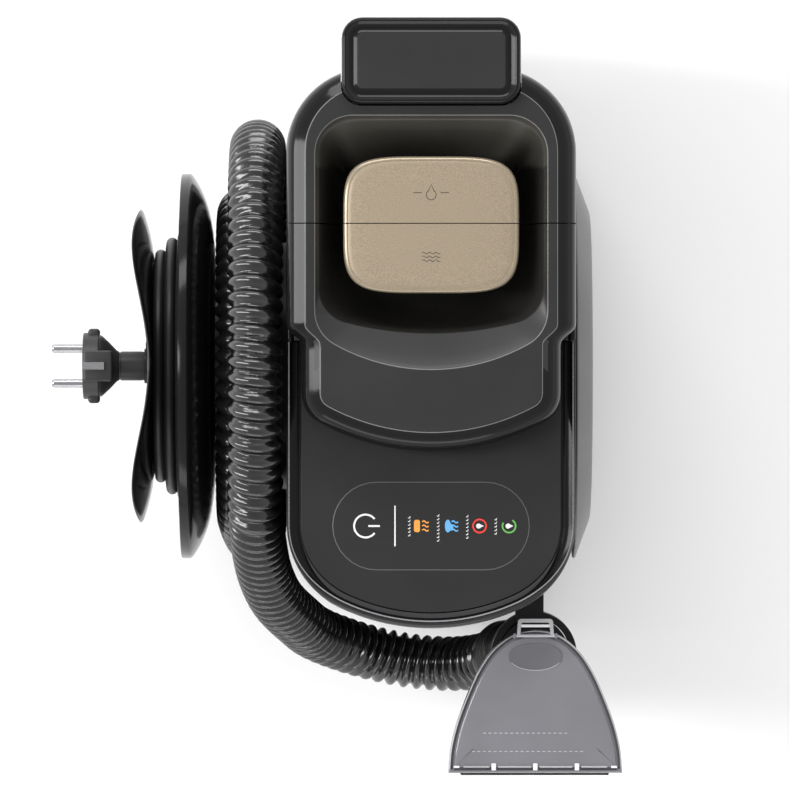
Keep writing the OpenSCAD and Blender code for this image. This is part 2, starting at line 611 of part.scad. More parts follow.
// ---- hose and hand tool ---------------------------------------------------------------------
module hose_outlet() color(dark) tube(curve(outlet_route, 2), hose_d / 2 + 0.5, 16);
module hose() color(hose_black) tube(hose_path, hose_d / 2, 12);
handle_route = [[39, -166, 110], [46, -165, 124], [52, -164, 142], [55.5, -163, 162],
                [tool_x, -163, 184], [tool_x, -163, 211.6]];
module trigger_pin(r, reach) translate([tool_x - reach, -178.5, 199]) rotate([0, 90, 0])
  cylinder(h = 2 * reach, r = r);
module tool_handle() color(dark) {
  difference() {
    tube(curve(handle_route, 2), tool_r, 16);
    box([tool_x - 8, -190, 158], [tool_x + 8, -174.5, 206]);
  }
  trigger_pin(1.5, 9);
}
module tool_trigger() color([0.25, 0.25, 0.26]) difference() {
  union() {
    box([tool_x - 7, -187, 166], [tool_x + 7, -181, 204]);
    box([tool_x - 7, -184, 193.5], [tool_x + 7, -176.4, 204]);
  }
  trigger_pin(1.55, 10);
}
nozzle_y0 = -225.6;
nozzle_y1 = -149;
// Half the nozzle's outline: square at the mouth, swept in to a rounded nose.
function nozzle_half(y) = let (t = (y - nozzle_y0) / (nozzle_y1 - nozzle_y0))
  nozzle_w / 2 * pow(max(0, 1 - pow(t, 2.1)), 0.8);
function nozzle_plan(inset) = [for (s = [1, -1]) for (i = [0:14])
  let (u = s > 0 ? i / 14 : 1 - i / 14,
       y = nozzle_y0 + (nozzle_y1 - nozzle_y0 - inset) * (1 - pow(1 - u, 1.6)))
  [tool_x + s * max(0.5, nozzle_half(y) - inset), y]];
module nozzle_base() color(dark) difference() {
  slab(nozzle_plan(3.6), 212, 227);
  slab(nozzle_plan(6.5), 216, 230);
  box([tool_x - 38, nozzle_y0 - 5, 216], [tool_x + 38, nozzle_y0 + 12, 230]);
  translate([tool_x, -163, 200]) cylinder(h = 30, r = 8);
}
module nozzle_cover() color(smoke) {
  difference() {
    slab(nozzle_plan(0), 222, nozzle_z);
    slab(nozzle_plan(3), 221, nozzle_z - 3);
    box([tool_x - 40, nozzle_y0 - 5, 221], [tool_x + 40, nozzle_y0 + 12, nozzle_z - 3]);
  }
  for (s = [-1, 1]) difference() {
    box([tool_x + s * 12 - 2, -158, nozzle_z - 0.5], [tool_x + s * 12 + 2, -149, nozzle_z + 4]);
    translate([tool_x - 20, -152, nozzle_z + 2]) rotate([0, 90, 0]) cylinder(h = 40, r = 1.05);
  }
}
module nozzle_latch() color([0.75, 0.75, 0.78]) {
  translate([tool_x - 14, -152, nozzle_z + 2]) rotate([0, 90, 0]) cylinder(h = 28, r = 1);
  for (s = [-1, 1]) box([tool_x + s * 8.5 - 1.2, -152, nozzle_z + 1], [tool_x + s * 8.5 + 1.2, -143, nozzle_z + 3]);
  box([tool_x - 9.7, -145, nozzle_z + 0.8], [tool_x + 9.7, -142.6, nozzle_z + 3.2]);
}
module brush_strip() color(rubber_black) {
  box([tool_x - 40, nozzle_y0 - 2.2, 208], [tool_x + 40, nozzle_y0 - 0.1, 214]);
  for (i = [0:26]) hole_z(tool_x - 39 + 3 * i, nozzle_y0 - 1.15, 0.8, 203, 208);
}
module spray_nozzle() color([0.5, 0.5, 0.52]) {
  box([tool_x - 10, nozzle_y0 + 14, 204], [tool_x + 10, nozzle_y0 + 30, 211.9]);
  translate([tool_x, nozzle_y0 + 14, 207]) rotate([90, 0, 0]) cylinder(h = 8, r = 3);
}
module tool_dock() color(dark) difference() {
  union() {
    box([tool_x - 10, -146, 170], [tool_x + 5, -128, 205]);
    hole_z(tool_x, -163, tool_r + 4, 172, 200);
  }
  hole_z(tool_x, -163, tool_r + 0.3, 160, 220);
  box([tool_x - 40, -200, 160], [tool_x + 40, -164, 220]);
  slab(body_plan(-0.1), 0, big);
}

base_pan();
rubber_feet();
main_housing();
deck_panel();
deck_trim();
control_lens();
icon_guides();
touch_board();
main_board();
suction_motor();
motor_mounts();
motor_shaft();
impeller();
fan_housing();
suction_duct();
port_seal();
exhaust_filter();
side_cover();
water_pump();
steam_boiler();
solenoid_valve();
water_tubes();
valve_receiver();
clean_tank();
clean_tank_gasket();
clean_tank_lid();
clean_tank_grip();
tank_valve();
valve_cage();
valve_spring();
used_tank();
used_tank_gasket();
used_tank_lid();
used_tank_grip();
float_cage();
float();
handle_column();
carry_handle();
hose_drum();
reel_plate();
cord_drum();
cord_flange();
cord_gland();
cord_winding();
cord_tail();
plug_clip();
plug_body();
plug_pins();
plug_earth_clips();
hose_outlet();
hose();
tool_handle();
tool_trigger();
nozzle_base();
nozzle_cover();
nozzle_latch();
brush_strip();
spray_nozzle();
tool_dock();
screws();
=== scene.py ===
# Looks of the portable carpet cleaner. Outlines are drawn in millimetres and built in metres.
import math

import bmesh
import bpy
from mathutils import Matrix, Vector, geometry


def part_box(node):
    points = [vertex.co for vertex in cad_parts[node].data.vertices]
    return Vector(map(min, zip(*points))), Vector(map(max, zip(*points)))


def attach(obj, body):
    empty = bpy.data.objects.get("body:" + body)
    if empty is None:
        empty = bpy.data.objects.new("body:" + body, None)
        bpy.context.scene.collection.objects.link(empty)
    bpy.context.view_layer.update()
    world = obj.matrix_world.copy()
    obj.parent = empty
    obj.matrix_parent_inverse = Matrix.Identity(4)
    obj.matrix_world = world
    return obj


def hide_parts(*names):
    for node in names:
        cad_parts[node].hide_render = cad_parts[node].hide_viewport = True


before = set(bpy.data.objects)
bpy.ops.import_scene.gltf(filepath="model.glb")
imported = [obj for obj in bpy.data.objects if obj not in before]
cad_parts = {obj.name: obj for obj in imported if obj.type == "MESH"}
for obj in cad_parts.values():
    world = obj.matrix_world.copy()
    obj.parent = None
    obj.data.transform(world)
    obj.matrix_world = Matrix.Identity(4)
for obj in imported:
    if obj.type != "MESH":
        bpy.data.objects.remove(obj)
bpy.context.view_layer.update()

MM = 0.001


def box_mm(node):
    low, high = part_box(node)
    return low / MM, high / MM


# ---- sizes taken from the frame ----
body_low, body_high = box_mm("main_housing")
HALF_W = body_high.x
FRONT, REAR = body_low.y, body_high.y
FRONT_BOW, FRONT_R, REAR_R = 114.0, 50.0, 45.0  # the body's radii, as in part.scad
DECK_Z = box_mm("deck_panel")[1].z
TOP = box_mm("clean_tank_lid")[1].z
LID_Z = box_mm("clean_tank_gasket")[1].z
SPLIT = (box_mm("clean_tank_lid")[0].y + box_mm("used_tank_lid")[1].y) / 2
LIP_FRONT = box_mm("used_tank_lid")[0].y
FLOOR_Z = box_mm("clean_tank_lid")[0].z + 2.5
grip_low, grip_high = box_mm("used_tank_grip")
GRIP_W = grip_high.x
GRIP_Y0, GRIP_Y1 = grip_low.y, box_mm("clean_tank_grip")[1].y
GRIP_BASE, GRIP_TOP = grip_low.z, grip_high.z
plate_low, plate_high = box_mm("reel_plate")
AXIS_Y = (plate_low.y + plate_high.y) / 2
AXIS_Z = (plate_low.z + plate_high.z) / 2
PLATE_R = (plate_high.z - plate_low.z) / 2
PLATE_X = plate_low.x
lens_low, lens_high = box_mm("control_lens")
LENS_Y = (lens_low.y + lens_high.y) / 2
pad_low, pad_high = box_mm("carry_handle")
window_low, window_high = box_mm("nozzle_cover")
TOOL_X = (window_low.x + window_high.x) / 2
NOZZLE_Y0 = window_low.y
NOZZLE_TOP = 240.0
FLANGE_X = box_mm("cord_flange")[1].x - 1.0


# ---- camera ----
def add_object(name, data):
    obj = bpy.data.objects.new(name, data)
    bpy.context.scene.collection.objects.link(obj)
    return obj


def add_camera():
    aim_x, aim_y, distance = -0.0192, -0.02305, 4.65
    data = bpy.data.cameras.new("camera")
    data.lens = 400.0
    data.sensor_width = 36.0
    data.clip_end = 30.0
    camera = add_object("camera", data)
    camera.location = (aim_x, aim_y, TOP * MM + distance)
    bpy.context.scene.camera = camera


add_camera()


# ---- outlines, as lists of (x, y) ----
def arc(cx, cy, r, start, end, steps=10):
    angles = [math.radians(start + (end - start) * i / steps) for i in range(steps + 1)]
    return [(cx + r * math.cos(a), cy + r * math.sin(a)) for a in angles]


def mirrored(half):
    return half + [(-x, y) for x, y in reversed(half)]


def smooth(t):
    t = min(1.0, max(0.0, t))
    return t * t * (3 - 2 * t)


def mix(a, b, t):
    return a + (b - a) * t


def round_box(x0, x1, y0, y1, r, steps=8):
    return (arc(x1 - r, y0 + r, r, -90, 0, steps) + arc(x1 - r, y1 - r, r, 0, 90, steps)
            + arc(x0 + r, y1 - r, r, 90, 180, steps) + arc(x0 + r, y0 + r, r, 180, 270, steps))


def inset_box(x0, x1, y0, y1, r, inset):
    return round_box(x0 + inset, x1 - inset, y0 + inset, y1 - inset, max(0.4, r - inset))


LIP_W, LIP_BOW, LIP_CORNER = 69.0, 125.0, 18.0
STEP_Y0, STEP_Y1 = 3.5, 14.0


def lid_outline(inset):
    """The lid ring: wide over the tanks, stepping in to a bowed lip over the deck."""
    corner_x = LIP_W - LIP_CORNER
    reach = LIP_BOW - LIP_CORNER
    corner_y = LIP_FRONT + LIP_BOW - math.sqrt(reach ** 2 - corner_x ** 2)
    lean = math.degrees(math.asin(corner_x / reach))
    step = [(mix(LIP_W, HALF_W, smooth(i / 12)) - inset, mix(STEP_Y0, STEP_Y1, i / 12))
            for i in range(13)]
    return mirrored(arc(0, LIP_FRONT + LIP_BOW, LIP_BOW - inset, -90, lean - 90, 16)
                    + arc(corner_x, corner_y, LIP_CORNER - inset, lean - 90, 0, 12) + step
                    + arc(HALF_W - REAR_R, REAR - REAR_R, REAR_R - inset, 0, 90, 24))


RECESS_W, RECESS_FRONT, RECESS_REAR, BOW_R = 61.5, -9.3, 125.0, 104.6


def recess_outline(inset, front=RECESS_FRONT, bow=BOW_R, corner=20.0):
    """The recess: square at the rear, bowed at the front, with rounded corners."""
    corner_x = RECESS_W - corner
    reach = bow - corner
    corner_y = front + bow - math.sqrt(reach ** 2 - corner_x ** 2)
    lean = math.degrees(math.asin(corner_x / reach))
    return mirrored(arc(0, front + bow, bow - inset, -90, lean - 90, 20)
                    + arc(corner_x, corner_y, corner - inset, lean - 90, 0, 14)
                    + arc(corner_x, RECESS_REAR - corner, corner - inset, 0, 90, 14))


def turns(count):
    """Evenly spaced angles of one full turn."""
    return [2 * math.pi * k / count for k in range(count)]


def star(outline):
    """The outline's points where evenly turned rays from the tanks' middle leave it."""
    cx, cy, count = 0.0, 50.0, 360
    points = []
    n = len(outline)
    for angle in turns(count):
        a = angle + math.pi / count
        dx, dy = math.cos(a), math.sin(a)
        best = 0.0
        for i in range(n):
            px, py = outline[i][0] - cx, outline[i][1] - cy
            qx, qy = outline[(i + 1) % n][0] - cx, outline[(i + 1) % n][1] - cy
            side_p = dx * py - dy * px
            side_q = dx * qy - dy * qx
            if side_p * side_q > 0 or side_p == side_q:
                continue
            t = side_p / (side_p - side_q)
            along = dx * (px + (qx - px) * t) + dy * (py + (qy - py) * t)
            best = max(best, along)
        points.append((cx + dx * best, cy + dy * best))
    return points


# ---- mesh helpers ----
def clean_mesh(name, solid):
    """A mesh in metres from (points, faces), with doubles merged and normals outward."""
    points, faces = solid
    mesh = bpy.data.meshes.new(name)
    mesh.from_pydata([(x * MM, y * MM, z * MM) for x, y, z in points], [], faces)
    mesh.validate()
    bm = bmesh.new()
    bm.from_mesh(mesh)
    bmesh.ops.remove_doubles(bm, verts=bm.verts, dist=2e-6)
    bmesh.ops.recalc_face_normals(bm, faces=bm.faces)
    bm.to_mesh(mesh)
    bm.free()
    return mesh


def piece(name, solid, body, material, replaces=(), sharp=32.0):
    obj = add_object(name, clean_mesh(name, solid))
    obj.data.materials.append(material)
    shade(obj, sharp)
    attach(obj, body)
    if replaces:
        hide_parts(*replaces)
    return obj


def add_materials(obj, *materials):
    for material in materials:
        obj.data.materials.append(material)


def shade(obj, sharp):
    mesh = obj.data
    mesh.polygons.foreach_set("use_smooth", [True] * len(mesh.polygons))
    mesh.set_sharp_from_angle(angle=math.radians(sharp))


def band(rings):
    """Quads between closed rings of equal length; returns points and faces."""
    n = len(rings[0])
    points = [p for ring in rings for p in ring]
    faces = [(i * n + k, i * n + (k + 1) % n, (i + 1) * n + (k + 1) % n, (i + 1) * n + k)
             for i in range(len(rings) - 1) for k in range(n)]
    return points, faces


def loft(rings):
    """A closed solid through the rings, with a flat cap at each end."""
    points, faces = band(rings)
    n = len(rings[0])
    faces.append(tuple(range(n - 1, -1, -1)))
    faces.append(tuple(range(len(points) - n, len(points))))
    return points, faces


def join(*solids):
    points, faces = [], []
    for solid_points, solid_faces in solids:
        start = len(points)
        points += solid_points
        faces += [tuple(start + i for i in face) for face in solid_faces]
    return points, faces


def at_z(outline, z):
    return [(x, y, z) for x, y in outline]


def turned_x(profile, steps):
    """A profile of (radius, x) turned round the reel's centre line."""
    rings = [[(x, AXIS_Y + r * math.cos(a), AXIS_Z + r * math.sin(a)) for r, x in profile]
             for a in turns(steps)]
    return band(rings + rings[:1])


def ring_x(x, y, z, r, count):
    """A circle round the line through (y, z) along X."""
    return [(x, y + r * math.cos(a), z + r * math.sin(a)) for a in turns(count)]


def rounded_block(low, high, r):
    """A box with rounded upright corners and a rounded rim above and below."""
    x0, y0, z0 = low
    x1, y1, z1 = high
    corner = min(r * 1.6, (x1 - x0) / 2.1, (y1 - y0) / 2.1)
    bends = [math.pi / 2 * i / 3 for i in range(4)]
    steps = [(r * (1 - math.sin(a)), z0 + r * (1 - math.cos(a))) for a in bends]
    steps += [(r * (1 - math.cos(a)), z1 - r * (1 - math.sin(a))) for a in bends]
    return loft([at_z(inset_box(x0, x1, y0, y1, corner, inset), z) for inset, z in steps])


def catmull(points, steps):
    out = []
    last = len(points) - 1
    for i in range(last):
        p0, p1 = Vector(points[max(i - 1, 0)]), Vector(points[i])
        p2, p3 = Vector(points[i + 1]), Vector(points[min(i + 2, last)])
        for k in range(steps):
            t = k / steps
            out.append(0.5 * (2 * p1 + (p2 - p0) * t + (2 * p0 - 5 * p1 + 4 * p2 - p3) * t * t
                              + (3 * p1 - p0 - 3 * p2 + p3) * t ** 3))
    out.append(Vector(points[last]))
    return out


def even_steps(path, step):
    """The path again with points an even step apart, and how far along each one is."""
    out, places, travelled, due = [path[0]], [0.0], 0.0, step
    for a, b in zip(path, path[1:]):
        length = (b - a).length
        while length > 0 and travelled + length >= due:
            out.append(a.lerp(b, (due - travelled) / length))
            places.append(due)
            due += step
        travelled += length
    return out, places, travelled


def swept(path, radius, sides):
    """A tube along the path. radius is a function of (point number, angle)."""
    rings = []
    heading = (path[1] - path[0]).normalized()
    normal = heading.orthogonal().normalized()
    last = len(path) - 1
    for i, centre in enumerate(path):
        heading = (path[min(i + 1, last)] - path[max(i - 1, 0)]).normalized()
        normal = (normal - heading * normal.dot(heading)).normalized()
        across = heading.cross(normal)
        rings.append([tuple(centre + (normal * math.cos(a) + across * math.sin(a)) * radius(i, a))
                      for a in turns(sides)])
    return loft(rings)


def cut_at(obj, level, keep_above):
    """Keeps one side of the plane y = level and closes the cut."""
    bm = bmesh.new()
    bm.from_mesh(obj.data)
    result = bmesh.ops.bisect_plane(bm, geom=bm.verts[:] + bm.edges[:] + bm.faces[:],
                                    plane_co=(0, level * MM, 0), plane_no=(0, 1, 0),
                                    clear_inner=keep_above, clear_outer=not keep_above)
    edges = [e for e in result["geom_cut"] if isinstance(e, bmesh.types.BMEdge)]
    bmesh.ops.holes_fill(bm, edges=edges)
    bmesh.ops.recalc_face_normals(bm, faces=bm.faces)
    bm.to_mesh(obj.data)
    bm.free()


def carve(obj, solid):
    """Takes a solid away from the piece."""
    mesh = clean_mesh("cutter", solid)
    cutter = add_object("cutter", mesh)
    modifier = obj.modifiers.new("carve", "BOOLEAN")
    modifier.operation = "DIFFERENCE"
    modifier.solver = "EXACT"
    modifier.object = cutter
    bpy.context.view_layer.update()
    evaluated = obj.evaluated_get(bpy.context.evaluated_depsgraph_get())
    result = bpy.data.meshes.new_from_object(evaluated)
    obj.modifiers.clear()
    old = obj.data
    obj.data = result
    bpy.data.meshes.remove(old)
    bpy.data.objects.remove(cutter)
    bpy.data.meshes.remove(mesh)


# ---- materials ----
def shader(name):
    material = bpy.data.materials.new(name)
    material.use_nodes = True
    tree = material.node_tree
    return material, tree, tree.nodes["Principled BSDF"]


def sockets(node, values):
    for name, value in values.items():
        node.inputs[name].default_value = value


def noise_node(tree, size_mm, detail=2.0, rough=0.5, stretch=(1, 1, 1)):
    place = tree.nodes.new("ShaderNodeTexCoord")
    mapping = tree.nodes.new("ShaderNodeMapping")
    mapping.inputs["Scale"].default_value = stretch
    noise = tree.nodes.new("ShaderNodeTexNoise")
    sockets(noise, {"Scale": 1.0 / (size_mm * MM), "Detail": detail, "Roughness": rough})
    tree.links.new(place.outputs["Object"], mapping.inputs["Vector"])
    tree.links.new(mapping.outputs["Vector"], noise.inputs["Vector"])
    return noise.outputs["Fac"]


def roughened(tree, bsdf, source, low, high):
    """Roughness between low and high, by the source."""
    node = tree.nodes.new("ShaderNodeMapRange")
    sockets(node, {"From Min": 0.3, "From Max": 0.7, "To Min": low, "To Max": high})
    tree.links.new(source, node.inputs["Value"])
    tree.links.new(node.outputs["Result"], bsdf.inputs["Roughness"])


def tinted(tree, bsdf, source, dark, light):
    """Base colour between dark and light, by the source."""
    ramp = tree.nodes.new("ShaderNodeValToRGB")
    for element, position, colour in zip(ramp.color_ramp.elements, (0.3, 0.7), (dark, light)):
        element.position = position
        element.color = (*colour, 1)
    tree.links.new(source, ramp.inputs["Fac"])
    tree.links.new(ramp.outputs["Color"], bsdf.inputs["Base Color"])


def bumped(tree, bsdf, source, strength, depth_mm):
    bump = tree.nodes.new("ShaderNodeBump")
    sockets(bump, {"Strength": strength, "Distance": depth_mm * MM})
    tree.links.new(source, bump.inputs["Height"])
    tree.links.new(bump.outputs["Normal"], bsdf.inputs["Normal"])


def scaled(colour, factor):
    return [min(1.0, c * factor) for c in colour]


def moulded(name, colour, rough, grain_mm=0.5, grain=0.12, vary=0.12, metallic=0.0, specular=0.5,
            rough_vary=0.06, stretch=(1, 1, 1)):
    """Moulded or painted surface: soft mottling, fine grain and slightly uneven gloss."""
    material, tree, bsdf = shader(name)
    fine = noise_node(tree, grain_mm, 3.0, 0.6, stretch)
    tinted(tree, bsdf, noise_node(tree, 38.0, 3.0), scaled(colour, 1 - vary), scaled(colour, 1 + vary))
    roughened(tree, bsdf, fine, max(0.02, rough - rough_vary), rough + rough_vary)
    bumped(tree, bsdf, fine, grain, 0.1)
    sockets(bsdf, {"Metallic": metallic, "Specular IOR Level": specular})
    return material


def sparkling(name, colour, rough):
    """Fine metallic paint with a visible flake."""
    material = moulded(name, colour, rough, grain_mm=0.45, grain=0.25, vary=0.03, metallic=0.35)
    tree = material.node_tree
    bsdf = tree.nodes["Principled BSDF"]
    tinted(tree, bsdf, noise_node(tree, 0.5, 2.0), scaled(colour, 0.76), scaled(colour, 1.24))
    return material


def clear(name, colour, alpha):
    """Clear or smoked plastic."""
    material, tree, bsdf = shader(name)
    fine = noise_node(tree, 0.8, 2.0)
    tinted(tree, bsdf, noise_node(tree, 30.0, 2.0), scaled(colour, 0.94), scaled(colour, 1.06))
    roughened(tree, bsdf, fine, 0.084, 0.156)
    bumped(tree, bsdf, fine, 0.04, 0.05)
    sockets(bsdf, {"Alpha": alpha, "IOR": 1.5, "Coat Weight": 0.3})
    return material


deck_matt = moulded("deck_matt", (0.0175, 0.0175, 0.018), 0.5, 0.35, 0.16, specular=0.25)
ring_satin = moulded("ring_satin", (0.022, 0.022, 0.0225), 0.34, 0.5, 0.04, specular=0.3)
gloss_black = moulded("gloss_black", (0.0065, 0.0065, 0.007), 0.15, 1.2, 0.02,
                      rough_vary=0.03, specular=0.2)
bevel_gloss = moulded("bevel_gloss", (0.005, 0.005, 0.0053), 0.12, 1.2, 0.02,
                      rough_vary=0.02, specular=0.22)
recess_black = moulded("recess_black", (0.021, 0.020, 0.0185), 0.3, 0.8, 0.04,
                       rough_vary=0.04, specular=0.3)
# painted reflection: lighter brown for the bowl's rear, standing in for light bounced from the champagne
# grip
bowl_rear_painted_bounce = moulded("bowl_rear_painted_bounce", (0.044, 0.0415, 0.036), 0.32, 0.8, 0.04, rough_vary=0.04, specular=0.3)
# painted highlight: light grey for the lid's small edge slopes
lid_edge_painted_highlight = moulded("lid_edge_painted_highlight", (0.15, 0.15, 0.152), 0.3, 0.8, 0.04, rough_vary=0.04, specular=0.4)
shelf_satin = moulded("shelf_satin", (0.026, 0.026, 0.0265), 0.36, 0.5, 0.04, specular=0.3)
casing_black = moulded("casing_black", (0.010, 0.010, 0.0105), 0.36, 0.45, 0.12, specular=0.3)
rim_grey = moulded("rim_grey", (0.014, 0.014, 0.0145), 0.3, 0.5, 0.05, specular=0.35)
# glossy band, painted a lighter grey as its highlight
band_painted_sheen = moulded("band_painted_sheen", (0.032, 0.032, 0.033), 0.24, 0.7, 0.03, specular=0.35)
# painted highlight: a light metallic strip for the rounded deck rail catching the light
painted_highlight_line = moulded("painted_highlight_line", (0.36, 0.36, 0.375), 0.28, 0.6, 0.03, metallic=0.6)
lens_dark = moulded("lens_dark", (0.019, 0.019, 0.0195), 0.38, 0.7, 0.03, vary=0.05, specular=0.3)
# painted highlight: lighter grey for the lens's edge slopes
lens_edge_painted_highlight = moulded("lens_edge_painted_highlight", (0.085, 0.085, 0.086), 0.4, 0.7, 0.03, vary=0.05)
champagne = sparkling("champagne", (0.315, 0.255, 0.18), 0.45)
# real polished rim with a painted highlight: a lighter, glossier copy of the champagne
champagne_rim_gloss_painted_highlight = moulded("champagne_rim_gloss_painted_highlight", (0.34, 0.28, 0.2), 0.26, 0.4, 0.05, vary=0.04, metallic=0.4)
cover_grey = moulded("cover_grey", (0.10, 0.10, 0.101), 0.34, 0.5, 0.06, specular=0.3)
hose_gloss = moulded("hose_gloss", (0.0065, 0.0065, 0.0068), 0.17, 1.0, 0.03,
                     rough_vary=0.04, specular=0.8)
lead_rubber = moulded("lead_rubber", (0.013, 0.013, 0.013), 0.42, 0.4, 0.12, specular=0.3)
plug_black = moulded("plug_black", (0.030, 0.030, 0.030), 0.4, 0.4, 0.14, specular=0.35)
nickel = moulded("nickel", (0.40, 0.40, 0.415), 0.24, 0.5, 0.04, metallic=1.0, stretch=(0.1, 1, 1))
bristle_black = moulded("bristle_black", (0.010, 0.010, 0.010), 0.6, 0.3, 0.3)
foot_rubber = moulded("foot_rubber", (0.02, 0.02, 0.02), 0.7, 0.5, 0.3)
window_smoke = clear("window_smoke", (0.20, 0.196, 0.214), 0.86)
thumb_smoke = clear("thumb_smoke", (0.125, 0.125, 0.138), 0.92)
tank_smoke = clear("tank_smoke", (0.08, 0.08, 0.09), 0.5)
latch_clear = clear("latch_clear", (0.52, 0.52, 0.54), 0.7)
# painted glint: light clear plastic for bars that stand in for glints
painted_glint_clear = clear("painted_glint_clear", (0.8, 0.8, 0.82), 0.92)
# painted shade: dark smoke for the window's rim edge and groove, and for the bar in front of the mouth
painted_shade_smoke = clear("painted_shade_smoke", (0.05, 0.05, 0.055), 0.95)
glint_smoke = clear("glint_smoke", (0.42, 0.42, 0.44), 0.95)
white_print = moulded("white_print", (0.75, 0.75, 0.75), 0.5, 0.4, 0.04, vary=0.03)
engraved = moulded("engraved", (0.05, 0.04, 0.028), 0.6, 0.4, 0.1)
steel = moulded("steel", (0.5, 0.5, 0.52), 0.32, 0.4, 0.12, metallic=1.0, stretch=(1, 1, 0.1))
alloy = moulded("alloy", (0.62, 0.62, 0.63), 0.42, 0.7, 0.3, metallic=1.0)
board_green = moulded("board_green", (0.02, 0.16, 0.06), 0.4, 0.5, 0.12)
inner_grey = moulded("inner_grey", (0.12, 0.12, 0.125), 0.45, 0.5, 0.15)
filter_white = moulded("filter_white", (0.62, 0.61, 0.56), 0.9, 0.8, 0.6, stretch=(1, 0.15, 1))
silicone = moulded("silicone", (0.55, 0.55, 0.57), 0.5, 0.6, 0.1)
float_white = moulded("float_white", (0.75, 0.75, 0.74), 0.5, 0.5, 0.15)

# ---- the hose ----
INNER_X, OUTER_X = -101.0, -94.0
INNER_R, OUTER_R = 82.8, 119.4
HOSE_START, CROSS_START, CROSS_END, LOOP_END = -555.0, -275.0, -220.0, 42.0
HOSE_D = 30.5
HOSE_ROUTE = [(-92, -108, 204), (-89, -122, 178), (-83, -135, 152), (-73, -146, 124),
              (-62, -155, 98), (-39, -164, 77), (-14, -170, 71), (10, -172, 76),
              (28, -170, 90), (39, -166, 110)]


def round_reel(x, r, degrees):
    a = math.radians(degrees)
    return Vector((x, AXIS_Y - r * math.sin(a), AXIS_Z + r * math.cos(a)))


def hose_centre():
    path = []
    degrees = HOSE_START
    while degrees < LOOP_END - 1:
        s = smooth((degrees - CROSS_START) / (CROSS_END - CROSS_START))
        path.append(round_reel(mix(INNER_X, OUTER_X, s), mix(INNER_R, OUTER_R, s), degrees))
        degrees += 1
    lead_in = [round_reel(OUTER_X, OUTER_R, LOOP_END - 12), round_reel(OUTER_X, OUTER_R, LOOP_END)]
    free = catmull(lead_in + HOSE_ROUTE, 24)
    return path + free[24:]


def make_hose():
    path, places, length = even_steps(hose_centre(), 1.0)
    crest, depth, pitch, front_pitch = HOSE_D / 2, 3.0, 8.3, 6.9
    turn, phases = 0.0, []
    for place in places:
        near_end = smooth((place - length * 0.72) / (length * 0.1))
        phases.append(turn)
        turn += 1.0 / mix(pitch, front_pitch, near_end)
    ends = len(path) - 1

    def radius(i, a):
        wave = 0.5 - 0.5 * math.cos(2 * math.pi * phases[i] + a)
        plain = smooth(min(i, ends - i) / 12.0)
        return crest - depth * (wave ** 1.6) * plain - (1 - plain) * 0.6

    hose = piece("ribbed_hose", swept(path, radius, 32), "machine", hose_gloss, ("hose",),
                 sharp=80)


make_hose()

# ---- the mains lead ----
LEAD_D = 6.2
COLUMN_X = {"D": -128.4, "A": -134.6, "B": -140.8, "C": -147.0}
TURNS = [("B", 67.2), ("A", 70.8), ("D", 67.6), ("D", 61.3), ("A", 64.5), ("B", 60.9), ("C", 60.7),
         ("C", 54.4), ("C", 48.1), ("B", 54.6), ("A", 58.2), ("D", 55.0), ("D", 48.7), ("A", 51.9),
         ("B", 48.3), ("A", 45.6)]
GLAND_X, GLAND_R, GLAND_LENGTH = -141.4, 82.0, 30.0
LEAVES_DRUM = 320
TAIL = [(-134.6, 21, -38), (-134.6, 15.5, -37), (-134.5, 10, -34.5), (-134, 4.5, -31), (-133, 0.5, -26),
        (-132.2, 0, -20), (-133.7, 0, -13), (-138, 0, -6), (-144, 0, -1.6), (-149.5, 0, 0), (-152.2, 0, 0)]


def wound(x, r, degrees):
    a = math.radians(degrees)
    return Vector((x, AXIS_Y - r * math.sin(a), AXIS_Z - r * math.cos(a)))


def make_lead():
    spots = [(GLAND_X, GLAND_R)] + [(COLUMN_X[column], r) for column, r in TURNS]
    path = []
    for turn in range(1, len(spots)):
        x0, r0 = spots[turn - 1]
        x1, r1 = spots[turn]
        last = LEAVES_DRUM if turn == len(spots) - 1 else 360
        for degrees in range(0, last, 8):
            t = smooth(degrees / 64)
            path.append(wound(mix(x0, x1, t), mix(r0, r1, t), degrees))
    tail = [Vector((x, AXIS_Y + y, AXIS_Z + z)) for x, y, z in TAIL]
    path = path[:-3] + catmull(path[-3:] + tail, 5)
    data = bpy.data.curves.new("mains_lead", "CURVE")
    data.dimensions = "3D"
    data.bevel_depth = LEAD_D / 2 * MM
    data.bevel_resolution = 4
    data.use_fill_caps = True
    spline = data.splines.new("POLY")
    spline.points.add(len(path) - 1)
    for point, spot in zip(spline.points, path):
        point.co = (*(spot * MM), 1.0)
    lead = add_object("mains_lead", data)
    data.materials.append(lead_rubber)
    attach(lead, "machine")
    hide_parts("cord_winding", "cord_tail")
    length = sum((b - a).length for a, b in zip(path, path[1:]))
    return lead, path, length


lead, lead_path, lead_length = make_lead()


def make_gland():
    """The tapered strain relief where the lead leaves the reel plate."""
    x0, y0, z0 = GLAND_X, AXIS_Y, AXIS_Z - GLAND_R
    rings = []
    for i in range(53):
        t = i / 52
        groove = 0.45 if 0.25 < t < 0.93 and (i // 2) % 3 == 0 else 0.0
        r = mix(4.0, 5.5, t) - groove
        rings.append([(x0 + r * math.cos(a), y0 + (GLAND_LENGTH + 1) * t, z0 + r * math.sin(a))
                      for a in turns(24)])
    foot = rounded_block((x0 - 2.5, y0 + GLAND_LENGTH - 2, z0 - 6),
                         (PLATE_X - 0.1, y0 + GLAND_LENGTH + 8, z0 + 6), 1.2)
    piece("lead_gland", join(loft(rings), foot), "machine", lead_rubber, ("cord_gland",))


make_gland()


